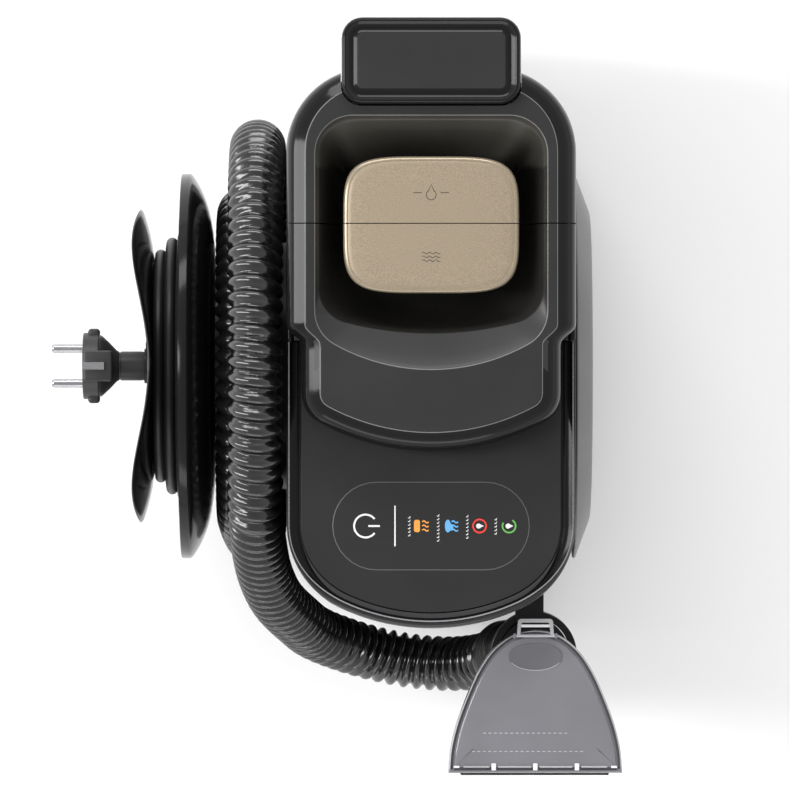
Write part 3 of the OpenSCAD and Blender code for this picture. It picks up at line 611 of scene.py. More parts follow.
def make_plug():
    """A round moulded plug: a straight neck, a flared head, side blocks and a raised centre."""
    plug_low, plug_high = box_mm("plug_body")
    face_x, tail_x = plug_low.x, plug_high.x
    profile = [(tail_x, 5.6), (tail_x - 0.5, 6.9), (tail_x - 1.6, 7.5), (-158.0, 8.0), (-168.6, 8.0),
               (-169.0, 7.5), (-169.6, 7.5), (-170.0, 8.0), (-170.8, 8.3), (-174.8, 12.5), (-178.4, 15.9),
               (-179.6, 16.7), (-180.8, 17.0), (-181.1, 18.1), (face_x + 0.8, 18.2), (face_x + 0.2, 17.8),
               (face_x, 17.0), (face_x, 12.5), (face_x + 0.5, 12.0)]
    parts = [loft([ring_x(x, AXIS_Y, AXIS_Z, r, 64) for x, r in profile])]
    for (x0, x1), (y0, y1), (z0, z1), r in (
            ((2.8, 9.2), (15.5, 20.4), (-5.8, 5.8), 1.3), ((2.8, 9.2), (-20.4, -15.5), (-5.8, 5.8), 1.3),
            ((0.6, 16.5), (-8.4, 8.4), (14.0, 18.6), 1.1), ((0.6, 16.5), (-8.4, 8.4), (-18.6, -14.0), 1.1)):
        parts.append(rounded_block((face_x + x0, AXIS_Y + y0, AXIS_Z + z0),
                                   (face_x + x1, AXIS_Y + y1, AXIS_Z + z1), r))
    return piece("plug", join(*parts), "machine", plug_black, ("plug_body",))


plug = make_plug()


# ---- lids and grips ----
BOWL = ((0.01, 0.01), (0.025, 0.045), (0.05, 0.13), (0.09, 0.25), (0.15, 0.41), (0.22, 0.56), (0.31, 0.70),
        (0.4, 0.81), (0.5, 0.90), (0.62, 0.955), (0.78, 0.99), (1.0, 1.0))


def lid_rings():
    """From under the lid, round its outside, over the rim and down into the recess."""
    skirt = star(round_box(-62, 62, 9.5, 124.5, 20))
    rings = [at_z(skirt, FLOOR_Z - 2.5), at_z(skirt, LID_Z)]
    rings += [at_z(star(lid_outline(i)), LID_Z + h) for i, h in ((2.6, 0), (0.5, 0.1), (0.0, 0.7))]
    turn_h, turn_w, rise = 10.0, 4.0, TOP - LID_Z - 14.2
    full = math.radians(68)
    for k in range(7):
        a = full * k / 6
        inset = turn_w * (1 - math.cos(a)) / (1 - math.cos(full))
        rings.append(at_z(star(lid_outline(inset)), LID_Z + rise + turn_h * math.sin(a) / math.sin(full)))
    top = LID_Z + rise + turn_h
    rings += [at_z(star(lid_outline(i)), top + h) for i, h in (
        (4.5, 0.5), (7.1, 1.75), (9.7, 3.05), (9.85, 3.15), (10.3, 3.75), (10.5, 3.85), (11.0, 3.85))]
    peak = top + 3.85
    rings += [at_z(star(recess_outline(i)), peak + h) for i, h in ((-0.9, 0), (-0.5, -0.02))]
    rim = star(recess_outline(0.0))
    rings.append(at_z(rim, peak - 0.48))
    shelf = star(recess_outline(1.6, front=7.9, bow=185.0))
    heights = [peak - 2.6 - 0.26 * math.hypot(x1 - x0, y1 - y0) for (x0, y0), (x1, y1) in zip(rim, shelf)]
    for t in (0.1, 0.4, 0.7, 0.94, 1.0):
        rings.append([(mix(x0, x1, t), mix(y0, y1, t), mix(peak - 0.48, h, t ** 0.85))
                      for (x0, y0), (x1, y1), h in zip(rim, shelf, heights)])
    floor = star(round_box(-28, 28, 40, 96, 20))
    for t, drop in BOWL:
        ring = []
        for (x0, y0), (x1, y1), h in zip(shelf, floor, heights):
            gentle = 0.85 * smooth((y0 - 108) / 14)
            ring.append((mix(x0, x1, t), mix(y0, y1, t), mix(h, FLOOR_Z, mix(drop, t ** 1.5, gentle))))
        rings.append(ring)
    return rings


def superellipse(cx, cy, a, b, power, count=180):
    out = []
    for t in turns(count):
        c, s = math.cos(t), math.sin(t)
        out.append((cx + math.copysign(abs(c) ** (2 / power), c) * a,
                    cy + math.copysign(abs(s) ** (2 / power), s) * b))
    return out


GRIP_MID = (GRIP_Y0 + GRIP_Y1) / 2
GRIP_HALF = (GRIP_Y1 - GRIP_Y0) / 2
GRIP_POWER = 4.4


def grip_outline(inset):
    return superellipse(0, GRIP_MID, GRIP_W - inset, GRIP_HALF - inset, GRIP_POWER)


def make_lids():
    stem = [at_z(round_box(-GRIP_W + 7, GRIP_W - 7, GRIP_Y0 + 11, GRIP_Y1 - 9, 10), z)
            for z in (FLOOR_Z - 0.5, GRIP_BASE + 0.2)]
    whole = join(loft(lid_rings()), loft(stem))
    notch = loft([at_z(round_box(pad_low.x - 0.5, pad_high.x + 0.5, pad_low.y - 0.8, 220, 11), z)
                  for z in (200, 320)])
    for name, body, rear, node in (("clean_lid_shell", "clean_tank_unit", True, "clean_tank_lid"),
                                   ("used_lid_shell", "used_tank_unit", False, "used_tank_lid")):
        lid = piece(name, whole, body, gloss_black, (node,), sharp=28)
        add_materials(lid, ring_satin, recess_black, shelf_satin, bevel_gloss, lid_edge_painted_highlight, bowl_rear_painted_bounce)
        if rear:
            carve(lid, notch)
        cut_at(lid, SPLIT + (0.28 if rear else -0.28), rear)
        paint_lid(lid)
        shade(lid, 28)


def paint_lid(lid):
    """Satin top and shelf, dark bowl, gloss elsewhere; a painted highlight of lighter grey on the small
    edge slopes by the top, and a painted reflection of lighter brown on the bowl's rear. Indices count the
    lid's materials from 0.
    """
    for face in lid.data.polygons:
        c = face.center / MM
        inside = abs(c.x) < RECESS_W + 0.2 and c.y < RECESS_REAR + 0.2 and c.z < TOP - 1.0
        if face.normal.z > 0.99 and c.z > TOP - 1.2:
            face.material_index = 1
        # painted highlight: the small edge slopes by the top take the light grey
        elif 0.4 < face.normal.z < 0.88 and c.z > TOP - 0.95:
            face.material_index = 5
        elif inside and c.y > RECESS_FRONT - 1:
            shelf = c.y < 20 and face.normal.z > 0.8 and c.z > TOP - 14
            # painted reflection: bowl faces past y = 98 take the lighter brown of light bounced from the
            # grip
            face.material_index = 3 if shelf else 6 if c.y > 98 else 2
        else:
            face.material_index = 4 if c.z > LID_Z + 17 else 0


make_lids()


def make_grips():
    top = GRIP_TOP - 0.4
    rings = [at_z(grip_outline(i), z) for i, z in (
        (1.4, GRIP_BASE), (0.3, GRIP_BASE + 0.3), (0.0, GRIP_BASE + 1.2), (0.0, top - 2.2),
        (0.25, top - 1.2), (0.9, top - 0.45), (1.7, top - 0.12), (2.1, top - 0.1))]
    crown = [at_z(grip_outline(i), z) for i, z in (
        (2.3, top - 0.35), (2.7, top - 0.3), (3.2, top - 0.05), (4.5, top + 0.08), (9, top + 0.22),
        (16, top + 0.33), (26, top + 0.38))]
    for name, body, rear, node in (("clean_grip_cap", "clean_tank_unit", True, "clean_tank_grip"),
                                   ("used_grip_cap", "used_tank_unit", False, "used_tank_grip")):
        grip = piece(name, loft(rings + crown), body, champagne, (node,), sharp=40)
        add_materials(grip, champagne_rim_gloss_painted_highlight)
        cut_at(grip, SPLIT + (0.25 if rear else -0.25), rear)
        # painted highlight: the top rim takes the lighter, glossier champagne copy
        edge_z = (top - 2.4) * MM
        for face in grip.data.polygons:
            x, y = face.center.x / MM, face.center.y / MM - GRIP_MID
            reach = abs(x / (GRIP_W - 2.2)) ** GRIP_POWER + abs(y / (GRIP_HALF - 2.2)) ** GRIP_POWER
            face.material_index = 1 if reach > 1.0 and face.center.z > edge_z else 0
        shade(grip, 40)


make_grips()


# ---- flat marks ----
def ribbon(points, width, z, thick=0.12, closed=False):
    """A flat line of even width drawn through (x, y) points."""
    n = len(points)
    left, right = [], []
    for i, (x, y) in enumerate(points):
        x0, y0 = points[(i - 1) % n] if closed or i > 0 else points[i]
        x1, y1 = points[(i + 1) % n] if closed or i < n - 1 else points[i]
        dx, dy = x1 - x0, y1 - y0
        size = math.hypot(dx, dy) or 1.0
        nx, ny = -dy / size * width / 2, dx / size * width / 2
        left.append((x + nx, y + ny))
        right.append((x - nx, y - ny))
    rings = [[(lx, ly, z), (lx, ly, z + thick), (rx, ry, z + thick), (rx, ry, z)]
             for (lx, ly), (rx, ry) in zip(left, right)]
    if closed:
        return band(rings + rings[:1])
    return loft(rings)


def disc(outline, z, thick):
    return loft([at_z(outline, z), at_z(outline, z + thick)])


def circle(cx, cy, r):
    return [(cx + r * math.cos(a), cy + r * math.sin(a)) for a in turns(32)]


def drop(cx, cy, r, degrees=0.0):
    """A drop, with its point to the rear before it is turned by the angle."""
    out = arc(0, 0, r, 125, 415, 29) + [(0.0, r * 2.1)]
    c, s = math.cos(math.radians(degrees)), math.sin(math.radians(degrees))
    return [(cx + x * c - y * s, cy + x * s + y * c) for x, y in out]


LENS_TOP = DECK_Z + 0.12
MARK_Z = LENS_TOP + 0.01
BAR_X, POWER_X = -19.2, -34.9
MODE_X = {"steam": -5.3, "mist": 10.4, "hot": 25.9, "wash": 41.6}
MODE_TONE = {"steam": (0.85, 0.33, 0.05), "mist": (0.12, 0.4, 0.75), "hot": (0.75, 0.04, 0.03),
             "wash": (0.12, 0.42, 0.08)}
CAPTIONS = [(-11.7, 5.2), (3.7, 8.0), (19.2, 6.5), (34.4, 4.3)]


def mode_mark(mode, x):
    """The icon of a mode. Its foot is on the power button's side and it points away from it."""
    rise = x + 1.2
    if mode in ("hot", "wash"):
        rim = ribbon(arc(x, LENS_Y, 3.5, 150, 510 if mode == "hot" else 420, 30), 0.85, MARK_Z)
        piece(f"core_{mode}", disc(drop(x - 0.5, LENS_Y, 1.35, -90), MARK_Z + 0.02, 0.06), "machine",
              white_print)
        return [rim]
    parts = [ribbon([(x + 0.6 + 3.4 * i / 12, LENS_Y + shift + 0.5 * math.sin(2 * math.pi * i / 12))
                     for i in range(13)], 0.7, MARK_Z) for shift in (-2.2, 0.0, 2.2)]
    if mode == "mist":
        parts.append(disc(superellipse(rise - 2.6, LENS_Y, 1.6, 3.4, 2.0, 32), MARK_Z, 0.08))
        parts.append(disc(circle(rise - 1.6, LENS_Y - 0.6, 1.9), MARK_Z, 0.09))
    else:
        parts.append(disc(round_box(x - 3.8, x - 0.6, LENS_Y - 3.3, LENS_Y + 3.3, 1.2), MARK_Z, 0.08))
    return parts


def make_marks():
    gap = 38
    white = [ribbon(arc(POWER_X, LENS_Y, 6.1, gap, 360 - gap, 40), 1.0, MARK_Z),
             ribbon([(POWER_X + 1.5, LENS_Y), (POWER_X + 7.6, LENS_Y)], 1.0, MARK_Z),
             ribbon([(BAR_X, LENS_Y - 10.8), (BAR_X, LENS_Y + 10.8)], 0.75, MARK_Z)]
    for x, half in CAPTIONS:
        y = LENS_Y - half
        while y < LENS_Y + half - 0.8:
            white.append(ribbon([(x - 0.55, y), (x + 0.55, y)], 0.42, MARK_Z, 0.08))
            white.append(ribbon([(x + 0.5, y), (x + 0.5, y + 0.9)], 0.36, MARK_Z, 0.08))
            y += 1.9
    piece("control_marks", join(*white), "machine", white_print)
    for mode, x in MODE_X.items():
        piece(f"mode_{mode}", join(*mode_mark(mode, x)), "machine",
              moulded(f"mark_{mode}", MODE_TONE[mode], 0.5, 0.4, 0.03, vary=0.05))


make_marks()


def make_engraving():
    """Small water marks on the grips: an open drop for clean water, waves for used water."""
    z = GRIP_TOP - 0.1
    y = GRIP_MID + 17.0
    clean = join(ribbon(drop(0, y - 1.2, 2.6), 0.45, z, 0.07, closed=True),
                 ribbon([(-9.5, y), (-5, y)], 0.45, z, 0.07), ribbon([(5, y), (9.5, y)], 0.45, z, 0.07))
    piece("clean_water_mark", clean, "clean_tank_unit", engraved)
    y = GRIP_MID - 17.5
    waves = [ribbon([(0.4 * i - 4.8, y + row + 0.5 * math.sin(math.pi * i / 4)) for i in range(25)],
                    0.42, z, 0.07) for row in (-1.6, 0.4, 2.4)]
    piece("used_water_mark", join(*waves), "used_tank_unit", engraved)


make_engraving()


# ---- the deck and its rim ----
DECK_BACK = 5.4
FRONT_CORNER_X = HALF_W - FRONT_R
FRONT_CORNER_Y = FRONT + FRONT_BOW - math.sqrt((FRONT_BOW - FRONT_R) ** 2 - FRONT_CORNER_X ** 2)
FRONT_LEAN = math.degrees(math.asin(FRONT_CORNER_X / (FRONT_BOW - FRONT_R)))


def front_path(inset):
    """The body's outline from one side, round the front, to the other side."""
    right = [(HALF_W - inset, mix(DECK_BACK, FRONT_CORNER_Y, i / 8)) for i in range(8)]
    corner = arc(FRONT_CORNER_X, FRONT_CORNER_Y, FRONT_R - inset, 0, FRONT_LEAN - 90, 24)
    bow = arc(0, FRONT + FRONT_BOW, FRONT_BOW - inset, FRONT_LEAN - 90, -90, 12)
    half = right + corner + bow[1:]
    return half + [(-x, y) for x, y in reversed(half[:-1])]


def frontness(place, count):
    """0 along the sides and 1 across the front, for a point of the front path."""
    k = min(place, count - 1 - place)
    turned = (90 - FRONT_LEAN) * min(24, max(0, k - 8)) / 24 + FRONT_LEAN * max(0, k - 32) / 12
    return smooth((turned - 12) / 50)


def blended_path(inset_side, inset_front):
    """The front path with one inset along the sides and another across the front."""
    side, front = front_path(inset_side), front_path(inset_front)
    out = []
    for i, ((x0, y0), (x1, y1)) in enumerate(zip(side, front)):
        t = frontness(i, len(side))
        out.append((mix(x0, x1, t), mix(y0, y1, t)))
    return out


def rim_sweep(side, front):
    """Sweeps a closed section of (inset, height over the deck) round the front."""
    columns = []
    for (inset_s, z_s), (inset_f, z_f) in zip(side, front):
        outline = blended_path(inset_s, inset_f)
        columns.append([(x, y, DECK_Z + mix(z_s, z_f, frontness(i, len(outline))))
                        for i, (x, y) in enumerate(outline)])
    return loft([list(ring) for ring in zip(*columns)])


# name, material, slot, replaced nodes, section at the sides, section across the front
DECK_SWEEPS = (
    ("deck_rim", rim_grey, "casing", ("deck_trim",),
     ((0, -4), (0, 0.6), (0.15, 1.2), (0.45, 1.5), (0.75, 1.3), (0.85, -0.6), (0.85, -4)),
     ((0, -4), (0, -0.6), (0.5, 0.7), (1.7, 1.5), (2.9, 1.2), (3.1, 0.4), (3.1, -4))),
    # painted highlight: a thin light strip where the rounded rail catches the light
    ("deck_painted_highlight", painted_highlight_line, "latch", (),
     ((0.95, -2), (0.95, 0.9), (1.05, 1.05), (1.45, 1.05), (1.55, 0.9), (1.55, -2)),
     ((3.3, -2), (3.3, 0.5), (3.4, 0.75), (4.1, 0.75), (4.2, 0.5), (4.2, -2))),
    ("deck_channel", gloss_black, "gloss_black", (),
     ((0.5, -4), (1.6, -1.3), (3.2, -2.2), (5.4, -2.3), (6.9, -1.4), (7.4, -0.5), (8.2, -4)),
     ((3.1, -4), (4.2, -1.3), (4.6, -1.9), (5.0, -1.9), (5.3, -1.2), (5.5, -0.6), (9.0, -4))),
    # glossy band, its highlight painted as a lighter grey
    ("deck_band", band_painted_sheen, "gloss_black", (),
     ((7.0, -3), (7.0, -1.0), (7.1, -0.8), (7.25, -0.7), (7.3, -0.9), (7.35, -3)),
     ((5.3, -3), (5.35, -0.2), (5.8, 0.25), (6.9, 0.35), (7.9, 0.1), (8.1, -3))),
)


def make_deck():
    for name, material, slot, nodes, side, front in DECK_SWEEPS:
        piece(name, rim_sweep(side, front), "machine", material, nodes)
    shoulders = [rounded_block((min(s * 73.4, s * HALF_W), DECK_BACK - 0.2, 257.9),
                               (max(s * 73.4, s * HALF_W), 13.6, LID_Z - 1.4), 1.3) for s in (-1, 1)]
    piece("deck_shoulders", join(*shoulders), "machine", gloss_black)
    panel = loft([at_z(blended_path(7.6 + i, 8.4 + i), DECK_Z + h) for i, h in (
        (0.3, -4), (0.0, -0.6), (0.1, -0.25), (0.45, 0.0), (0.8, 0.0))])
    piece("deck_surface", panel, "machine", deck_matt, ("deck_panel",))


make_deck()


def make_lens():
    x0, x1, y0, y1 = lens_low.x, lens_high.x, lens_low.y, lens_high.y
    rings = [at_z(inset_box(x0, x1, y0, y1, (y1 - y0) / 2, i), z) for i, z in (
        (0.2, DECK_Z - 0.5), (0.0, DECK_Z - 0.1), (0.08, LENS_TOP - 0.06), (0.25, LENS_TOP),
        (0.55, LENS_TOP))]
    lens = piece("touch_lens", loft(rings), "machine", lens_dark, ("control_lens",))
    add_materials(lens, lens_edge_painted_highlight)
    # painted highlight: the lens's upward edge slopes take the lighter grey
    for face in lens.data.polygons:
        if face.normal.z > 0.1 and len(face.vertices) < 6:
            face.material_index = 1


make_lens()


# ---- carrying handle ----
def make_handle():
    x1, y0, y1, top = pad_high.x, pad_low.y, pad_high.y, pad_high.z
    steps = [(1.6, 283.2), (0.4, 283.4), (0.0, 284.4), (0.0, top - 3.0), (0.3, top - 1.4),
             (0.9, top - 0.35), (1.5, top), (2.2, top - 0.05), (3.2, top - 0.9), (4.4, top - 1.9),
             (5.8, top - 2.2), (7.0, top - 1.9), (7.8, top - 1.3), (8.2, top - 1.15), (9.2, top - 1.1)]
    pad = loft([at_z(inset_box(-x1, x1, y0, y1, 11.0, i), z) for i, z in steps])
    legs = [rounded_block((x - 9, 145, 156), (x + 9, 159, 284), 1.6) for x in (-30, 30)]
    handle = piece("carry_pad", join(pad, *legs), "handle", gloss_black,
                   ("carry_handle",))
    add_materials(handle, ring_satin)
    for face in handle.data.polygons:
        c = face.center / MM
        if face.normal.z > 0.98 and abs(c.x) < x1 - 7.6 and y0 + 7.6 < c.y < y1 - 7.6 and c.z > top - 2:
            face.material_index = 1


make_handle()


# ---- reel ----
def make_reel():
    """The plate is domed towards the body and has a well for the lead in its outer face."""
    rim_x, well_x, well_r = PLATE_X, -125.2, 75.0

    def dome(r):
        return -116.9 - 13.3 * (r / PLATE_R) ** 6

    inner = [(r, dome(r)) for r in (18, 36, 54, 66, 74, 80, 85, 90, 94, 98, 101.5)]
    profile = inner + [(103.6, dome(103.6)), (104.6, dome(104.6) - 0.3), (PLATE_R, dome(PLATE_R) - 0.8),
                       (PLATE_R, rim_x + 0.9), (104.7, rim_x + 0.25), (104.0, rim_x), (99.5, rim_x),
                       (98.9, rim_x + 0.35), (97.0, rim_x + 0.35), (96.4, rim_x), (well_r + 0.8, rim_x),
                       (well_r, rim_x + 0.8), (well_r, well_x), (18.0, well_x)]
    piece("reel_disc", turned_x(profile, 160), "machine", gloss_black, ("reel_plate",),
          sharp=25)


FLAT_R = 48.0
FLANGE_R = (box_mm("cord_flange")[1].z - box_mm("cord_flange")[0].z) / 2


def flare(r, a):
    """How far the flange bends away from the reel there."""
    t = max(0.0, (r - FLAT_R) / (FLANGE_R - FLAT_R))
    return t * t * (6.8 * math.cos(a) ** 2 + 6.4 * math.sin(2 * a) ** 2)


def make_flange():
    radii = [9.2, 9.8, 20, 34, 48, 54, 60, 66, 72, 77, 81, 84, FLANGE_R - 0.3, FLANGE_R]
    section = [(r, 1.0 if r < 85 else 1.0 - (r - 84.6) * 0.9) for r in radii]
    section += [(r, -lift) for r, lift in reversed(section)]
    rings = [[(FLANGE_X + lift - flare(r, a), AXIS_Y + r * math.cos(a), AXIS_Z + r * math.sin(a))
              for r, lift in section] for a in turns(144)]
    piece("wavy_flange", band(rings + rings[:1]), "machine", gloss_black, ("cord_flange",),
          sharp=50)


make_reel()
make_flange()


# ---- right-hand cover ----
def make_side_cover():
    cover_low, cover_high = box_mm("side_cover")
    outer_r = (cover_high.z - cover_low.z) / 2
    profile = [(100.5, 77.6), (outer_r - 0.6, 77.6), (outer_r, 78.1), (outer_r - 0.2, 78.7), (104.0, 79.2),
               (86.0, 85.9), (84.4, 86.5), (82.8, 86.9), (80.5, 87.1), (79.6, 86.7), (77.5, 86.7),
               (76.7, 87.2), (40, 87.35), (12, 87.4), (12, 84.8), (81.0, 84.6)]
    parts = [turned_x(profile, 160),
             turned_x([(0.5, 84.9), (11.8, 84.9), (11.8, 86.9), (10.9, 87.5), (0.5, 87.5)], 64)]
    for i in range(8):
        y = AXIS_Y + 24 + 6.5 * i
        half = 31 - 2.4 * i
        parts.append(rounded_block((86.4, y, AXIS_Z - half), (87.6, y + 3.4, AXIS_Z + half), 0.5))
    piece("round_cover", join(*parts), "cover", cover_grey, ("side_cover",),
          sharp=25)


make_side_cover()


# ---- hand tool ----
NOZZLE_SIDE = [(46.6, -225.6), (45.6, -213.0), (42.6, -200.2), (37.6, -186.4), (31.4, -172.4),
               (24.0, -161.0), (15.0, -153.2), (7.0, -149.9), (0.0, -149.0)]
AXLE_Y = -152.0
DISH_Y, DISH_A, DISH_B = -163.4, 14.4, 7.3


def nozzle_outline(inset):
    """From the right corner of the mouth round the nose to the left corner, moved in by the inset."""
    right = [(p.x, p.y) for p in catmull([(x, y, 0) for x, y in NOZZLE_SIDE], 4)]
    moved = []
    last = len(right) - 1
    for i, (x, y) in enumerate(right):
        x0, y0 = right[max(0, i - 1)]
        x1, y1 = right[i + 1] if i < last else (-right[i - 1][0], right[i - 1][1])
        size = math.hypot(x1 - x0, y1 - y0)
        nx, ny = (y1 - y0) / size, -(x1 - x0) / size
        moved.append((max(0.0, x - nx * inset), max(y - ny * inset, NOZZLE_Y0 + inset)))
    moved[0] = (moved[0][0], NOZZLE_Y0 + inset)
    return ([(TOOL_X + x, y) for x, y in moved]
            + [(TOOL_X - x, y) for x, y in reversed(moved[:-1])])


def paint_window(window):
    """Dark and light lines that run round the window's rim: painted shade on the outer edge and in the
    groove, and a painted highlight on the band between.
    """
    add_materials(window, painted_shade_smoke, glint_smoke)
    edge = [Vector((x, y)) for x, y in nozzle_outline(0.0)]
    for face in window.data.polygons:
        c = Vector(face.center[:2]) / MM
        if face.center.z / MM < NOZZLE_TOP - 3.2 or c.y < NOZZLE_Y0 + 2.5:
            continue
        gap = min((c - geometry.intersect_point_line(c, a, b)[0].to_2d()).length
                  for a, b in zip(edge, edge[1:]))
        if gap < 0.26 or 0.85 < gap < 2.3:
            face.material_index = 1
        elif gap < 0.85:
            face.material_index = 2


def tool_block(low, high, r):
    """A rounded block placed from the middle of the tool."""
    return rounded_block((TOOL_X + low[0], *low[1:]), (TOOL_X + high[0], *high[1:]), r)


def make_latch():
    """The clear loop over the nose, on its axle between two ears of the window."""
    low = NOZZLE_TOP + 1.1
    outer = [(-9.9, AXLE_Y), (-9.4, -144), (-8.2, -142.9), (8.2, -142.9), (9.4, -144), (9.9, AXLE_Y)]
    inner = [(8.2, AXLE_Y), (7.5, -145.6), (6.9, -144.9), (-6.9, -144.9), (-7.5, -145.6), (-8.2, AXLE_Y)]
    loop = loft([at_z([(TOOL_X + x, y) for x, y in reversed(outer + inner)], z) for z in (low, low + 1.6)])
    axle = loft([ring_x(TOOL_X + x, AXLE_Y, NOZZLE_TOP + 2, 0.8, 20) for x in (-10.6, 10.6)])
    piece("latch_loop_clear", join(loop, axle), "latch_loop", latch_clear, ("nozzle_latch",))
    # painted glint: a bright clear bar across the inside of the loop
    lip = tool_block((-8.0, -147.4, low + 0.2), (8.0, -145.9, low + 1.1), 0.3)
    piece("latch_lip_glint", lip, "latch_loop", painted_glint_clear)
    ears = [tool_block((x - 0.9, AXLE_Y - 1.4, low - 3.3), (x + 0.9, AXLE_Y + 1.4, low + 1.9), 0.5)
            for x in (-11.1, 11.1)]
    piece("latch_ears", join(*ears), "nozzle_window", window_smoke)


def make_window_marks():
    """A light line under the thumb dish, a painted highlight on its lower edge, and two rows of plain
    dashes near the mouth.
    """
    z = NOZZLE_TOP - 0.17
    dish_highlight_arc = [(TOOL_X + (DISH_A - 0.2) * x, DISH_Y + (DISH_B - 0.1) * y)
                for x, y in arc(0, 0, 1, 205, 335, 20)]
    parts = [ribbon(dish_highlight_arc, 0.42, z + 0.1, 0.12)]
    for y, x0, x1 in ((-204.2, 28.0, 74.0), (-214.0, 22.0, 82.0)):
        x = x0
        while x < x1:
            parts.append(ribbon([(x, y), (x + 1.6, y)], 0.5, z - 0.02, 0.08))
            x += 2.9
    piece("window_marks", join(*parts), "nozzle_window", glint_smoke)


def make_nozzle():
    z = NOZZLE_TOP
    outer = [at_z(nozzle_outline(i), h) for i, h in (
        (0.0, 222.2), (0.0, z - 2.2), (0.25, z - 1.2), (0.8, z - 0.7), (1.3, z - 0.75), (1.6, z - 1.7),
        (2.3, z - 2.0), (2.9, z - 1.9), (3.2, z - 1.2), (3.8, z - 1.0), (6.0, z - 0.75), (8.5, z - 0.45),
        (11.0, z - 0.25), (13.0, z - 0.2))]
    inner = [at_z(nozzle_outline(i), h) for i, h in ((12.0, z - 2.4), (2.6, z - 3.4), (2.4, 222.2))]
    window = piece("nozzle_window_shell", loft(inner + outer), "nozzle_window", window_smoke,
                   ("nozzle_cover",), sharp=30)
    mouth = [(TOOL_X - 40, NOZZLE_Y0 - 6), (TOOL_X + 40, NOZZLE_Y0 - 6),
             (TOOL_X + 40, NOZZLE_Y0 + 12), (TOOL_X - 40, NOZZLE_Y0 + 12)]
    carve(window, loft([at_z(mouth, h) for h in (221, z - 4.2)]))
    paint_window(window)
    shade(window, 30)
    dish = [at_z(superellipse(TOOL_X, DISH_Y, DISH_A - i, DISH_B - i * 0.5, 2.3, 64), z + h) for i, h in (
        (0.0, -1.2), (0.15, -0.02), (0.5, 0.06), (1.1, -0.02), (1.6, -0.12), (5.0, -0.16), (9.0, -0.18))]
    piece("thumb_dish", loft(dish), "nozzle_window", thumb_smoke)
    make_mouth_glints_and_shade(NOZZLE_Y0 + 3.3, z)


def make_mouth_glints_and_shade(y, z):
    """Light bars and catches along the mouth, painted light as glints, with a dark bar in front of them as
    the groove's painted shadow.
    """
    parts = [tool_block((-1.2, y - 1.9, z - 1.6), (1.2, y + 1.9, z - 0.3), 0.25)]
    for x0, x1, half in ((21.1, 23.5, 1.9), (2.2, 20.0, 0.38), (24.6, 38.5, 0.38), (40.6, 43.8, 0.6)):
        for a, b in ((x0, x1), (-x1, -x0)):
            parts.append(tool_block((a, y - half, z - 1.6), (b, y + half, z - 0.3), 0.14))
    piece("mouth_glint_bars", join(*parts), "nozzle_window", painted_glint_clear)
    # painted shadow: a dark bar standing in for the groove's shade
    groove = tool_block((-43.6, y - 1.8, z - 2.2), (43.6, y - 0.7, z - 1.3), 0.14)
    piece("mouth_groove_shadow", groove, "nozzle_window", painted_shade_smoke)


def make_brush():
    low, high = box_mm("brush_strip")
    parts = [rounded_block((low.x, low.y, 209), (high.x, high.y, 214), 0.5)]
    count = 78
    for i in range(count):
        x = mix(low.x + 1, high.x - 1, i / (count - 1))
        for y, lean in ((low.y + 0.5, -0.1), (high.y - 0.5, 0.1)):
            ends = ((y, 210), (y + lean, low.z + 0.4))
            parts.append(loft([[(x + 0.32 * math.cos(a), end_y + 0.3 * math.sin(a), z) for a in turns(5)]
                               for end_y, z in ends]))
    piece("bristle_row", join(*parts), "machine", bristle_black, ("brush_strip",))


HANDLE_ROUTE = [(39, -166, 110), (46, -165, 124), (52, -164, 142), (55.5, -163, 162), (56, -163, 184),
                (56, -163, 211)]


def make_tool_handle():
    path, places, _ = even_steps(catmull(HANDLE_ROUTE, 10), 1.0)

    def radius(i, a):
        s = places[i]
        if s < 20:
            return 17.6 + (1.2 if 3 < s < 17 else 0.0) - (0.5 if int(s) in (7, 10, 13) else 0.0)
        return mix(17.2, 18.9, smooth((s - 24) / 40))

    handle = piece("tool_grip", swept(path, radius, 48), "machine", casing_black,
                   ("tool_handle",), sharp=40)
    carve(handle, tool_block((-8, -192, 158), (8, -174.6, 206), 1.5))
    shade(handle, 40)
    pin = loft([ring_x(TOOL_X + x, -178.5, 199, 1.5, 24) for x in (-9, 9)])
    piece("trigger_axle", pin, "machine", steel)


make_nozzle()
make_latch()
make_window_marks()
make_brush()
make_tool_handle()

# ---- finishes of the CAD parts that show as they are ----
NODE_FINISH = {
    casing_black: ["base_pan", "main_housing", "handle_column", "hose_drum", "cord_drum", "plug_clip",
                   "tool_dock", "nozzle_base", "fan_housing", "suction_duct", "valve_receiver",
                   "hose_outlet"],
    foot_rubber: ["rubber_feet", "motor_mounts", "port_seal", "clean_tank_gasket", "used_tank_gasket"],
    steel: ["suction_motor", "motor_shaft", "valve_spring", "screws"],
    alloy: ["impeller", "steam_boiler"],
    nickel: ["plug_pins", "plug_earth_clips"],
    board_green: ["touch_board", "main_board"],
    white_print: ["icon_guides"],
    inner_grey: ["water_pump", "solenoid_valve", "tank_valve", "valve_cage", "float_cage", "spray_nozzle",
                 "tool_trigger"],
    filter_white: ["exhaust_filter"],
    silicone: ["water_tubes"],
    tank_smoke: ["clean_tank", "used_tank"],
    float_white: ["float"],
}
for finish, names in NODE_FINISH.items():
    for name in names:
        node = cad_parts[name]
        node.data.materials.clear()
        node.data.materials.append(finish)
        shade(node, 30)


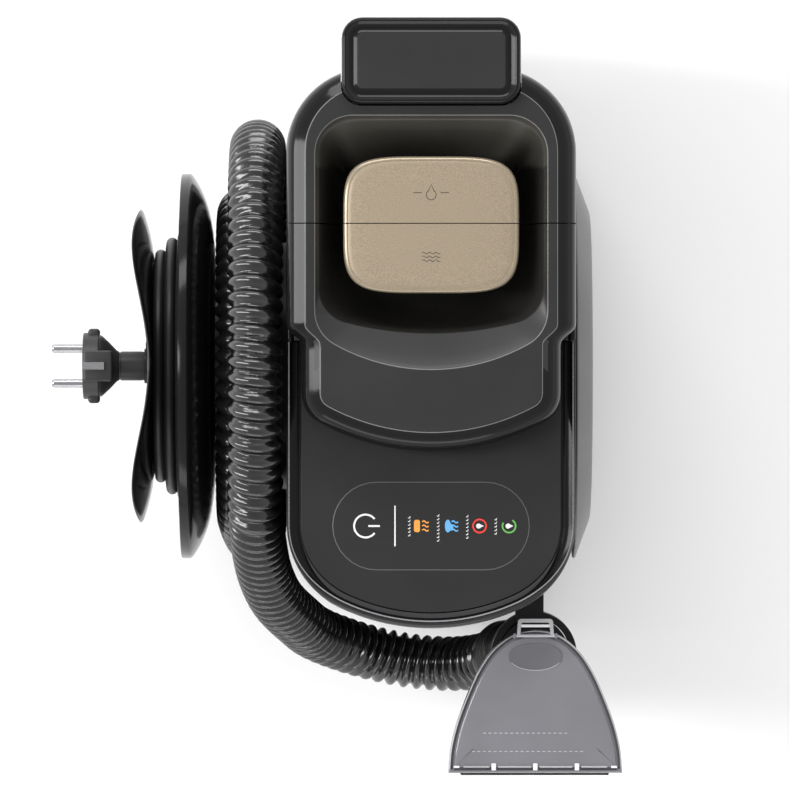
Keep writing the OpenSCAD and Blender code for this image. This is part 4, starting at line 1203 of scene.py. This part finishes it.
# ---- stage ----
def make_stage():
    side = 6.0
    mesh = bpy.data.meshes.new("floor")
    corners = [(-side, -side, 0), (side, -side, 0), (side, side, 0), (-side, side, 0)]
    mesh.from_pydata(corners, [], [(0, 1, 2, 3)])
    floor = add_object("floor", mesh)
    material, tree, bsdf = shader("floor_paint")
    tinted(tree, bsdf, noise_node(tree, 400.0, 2.0), (0.93, 0.93, 0.93), (0.95, 0.95, 0.95))
    bsdf.inputs["Roughness"].default_value = 0.9
    add_materials(floor, material)


def softbox(name, spot, target, size, power):
    data = bpy.data.lights.new(name, "AREA")
    data.shape = "RECTANGLE"
    data.size, data.size_y = size
    data.energy = power
    lamp = add_object(name, data)
    lamp.location = spot
    lamp.rotation_euler = (Vector(target) - Vector(spot)).to_track_quat("-Z", "Y").to_euler()


def make_light():
    world = bpy.data.worlds.new("studio")
    bpy.context.scene.world = world
    world.use_nodes = True
    tree = world.node_tree
    background = tree.nodes["Background"]
    place = tree.nodes.new("ShaderNodeTexCoord")
    parts = tree.nodes.new("ShaderNodeSeparateXYZ")
    ramp = tree.nodes.new("ShaderNodeValToRGB")
    tree.links.new(place.outputs["Generated"], parts.inputs["Vector"])
    tree.links.new(parts.outputs["Z"], ramp.inputs["Fac"])
    stops = [(0.0, 0.78), (0.4, 0.6), (0.66, 0.48), (0.86, 0.4), (1.0, 0.34)]
    elements = ramp.color_ramp.elements
    for position, _ in stops[1:-1]:
        elements.new(position)
    for element, (position, value) in zip(elements, stops):
        element.position = position
        element.color = (value, value, value, 1)
    tree.links.new(ramp.outputs["Color"], background.inputs["Color"])
    background.inputs["Strength"].default_value = 1.75
    softbox("left_box", (-1.9, 0.2, 1.7), (0, 0, 0.15), (0.55, 2.4), 44)
    softbox("rear_box", (-0.3, 2.1, 1.5), (0, 0, 0.2), (2.0, 0.7), 30)
    softbox("front_box", (-0.3, -2.3, 1.0), (0, 0, 0.2), (2.0, 0.5), 10)


make_stage()
make_light()
bpy.context.scene.view_settings.view_transform = "Standard"
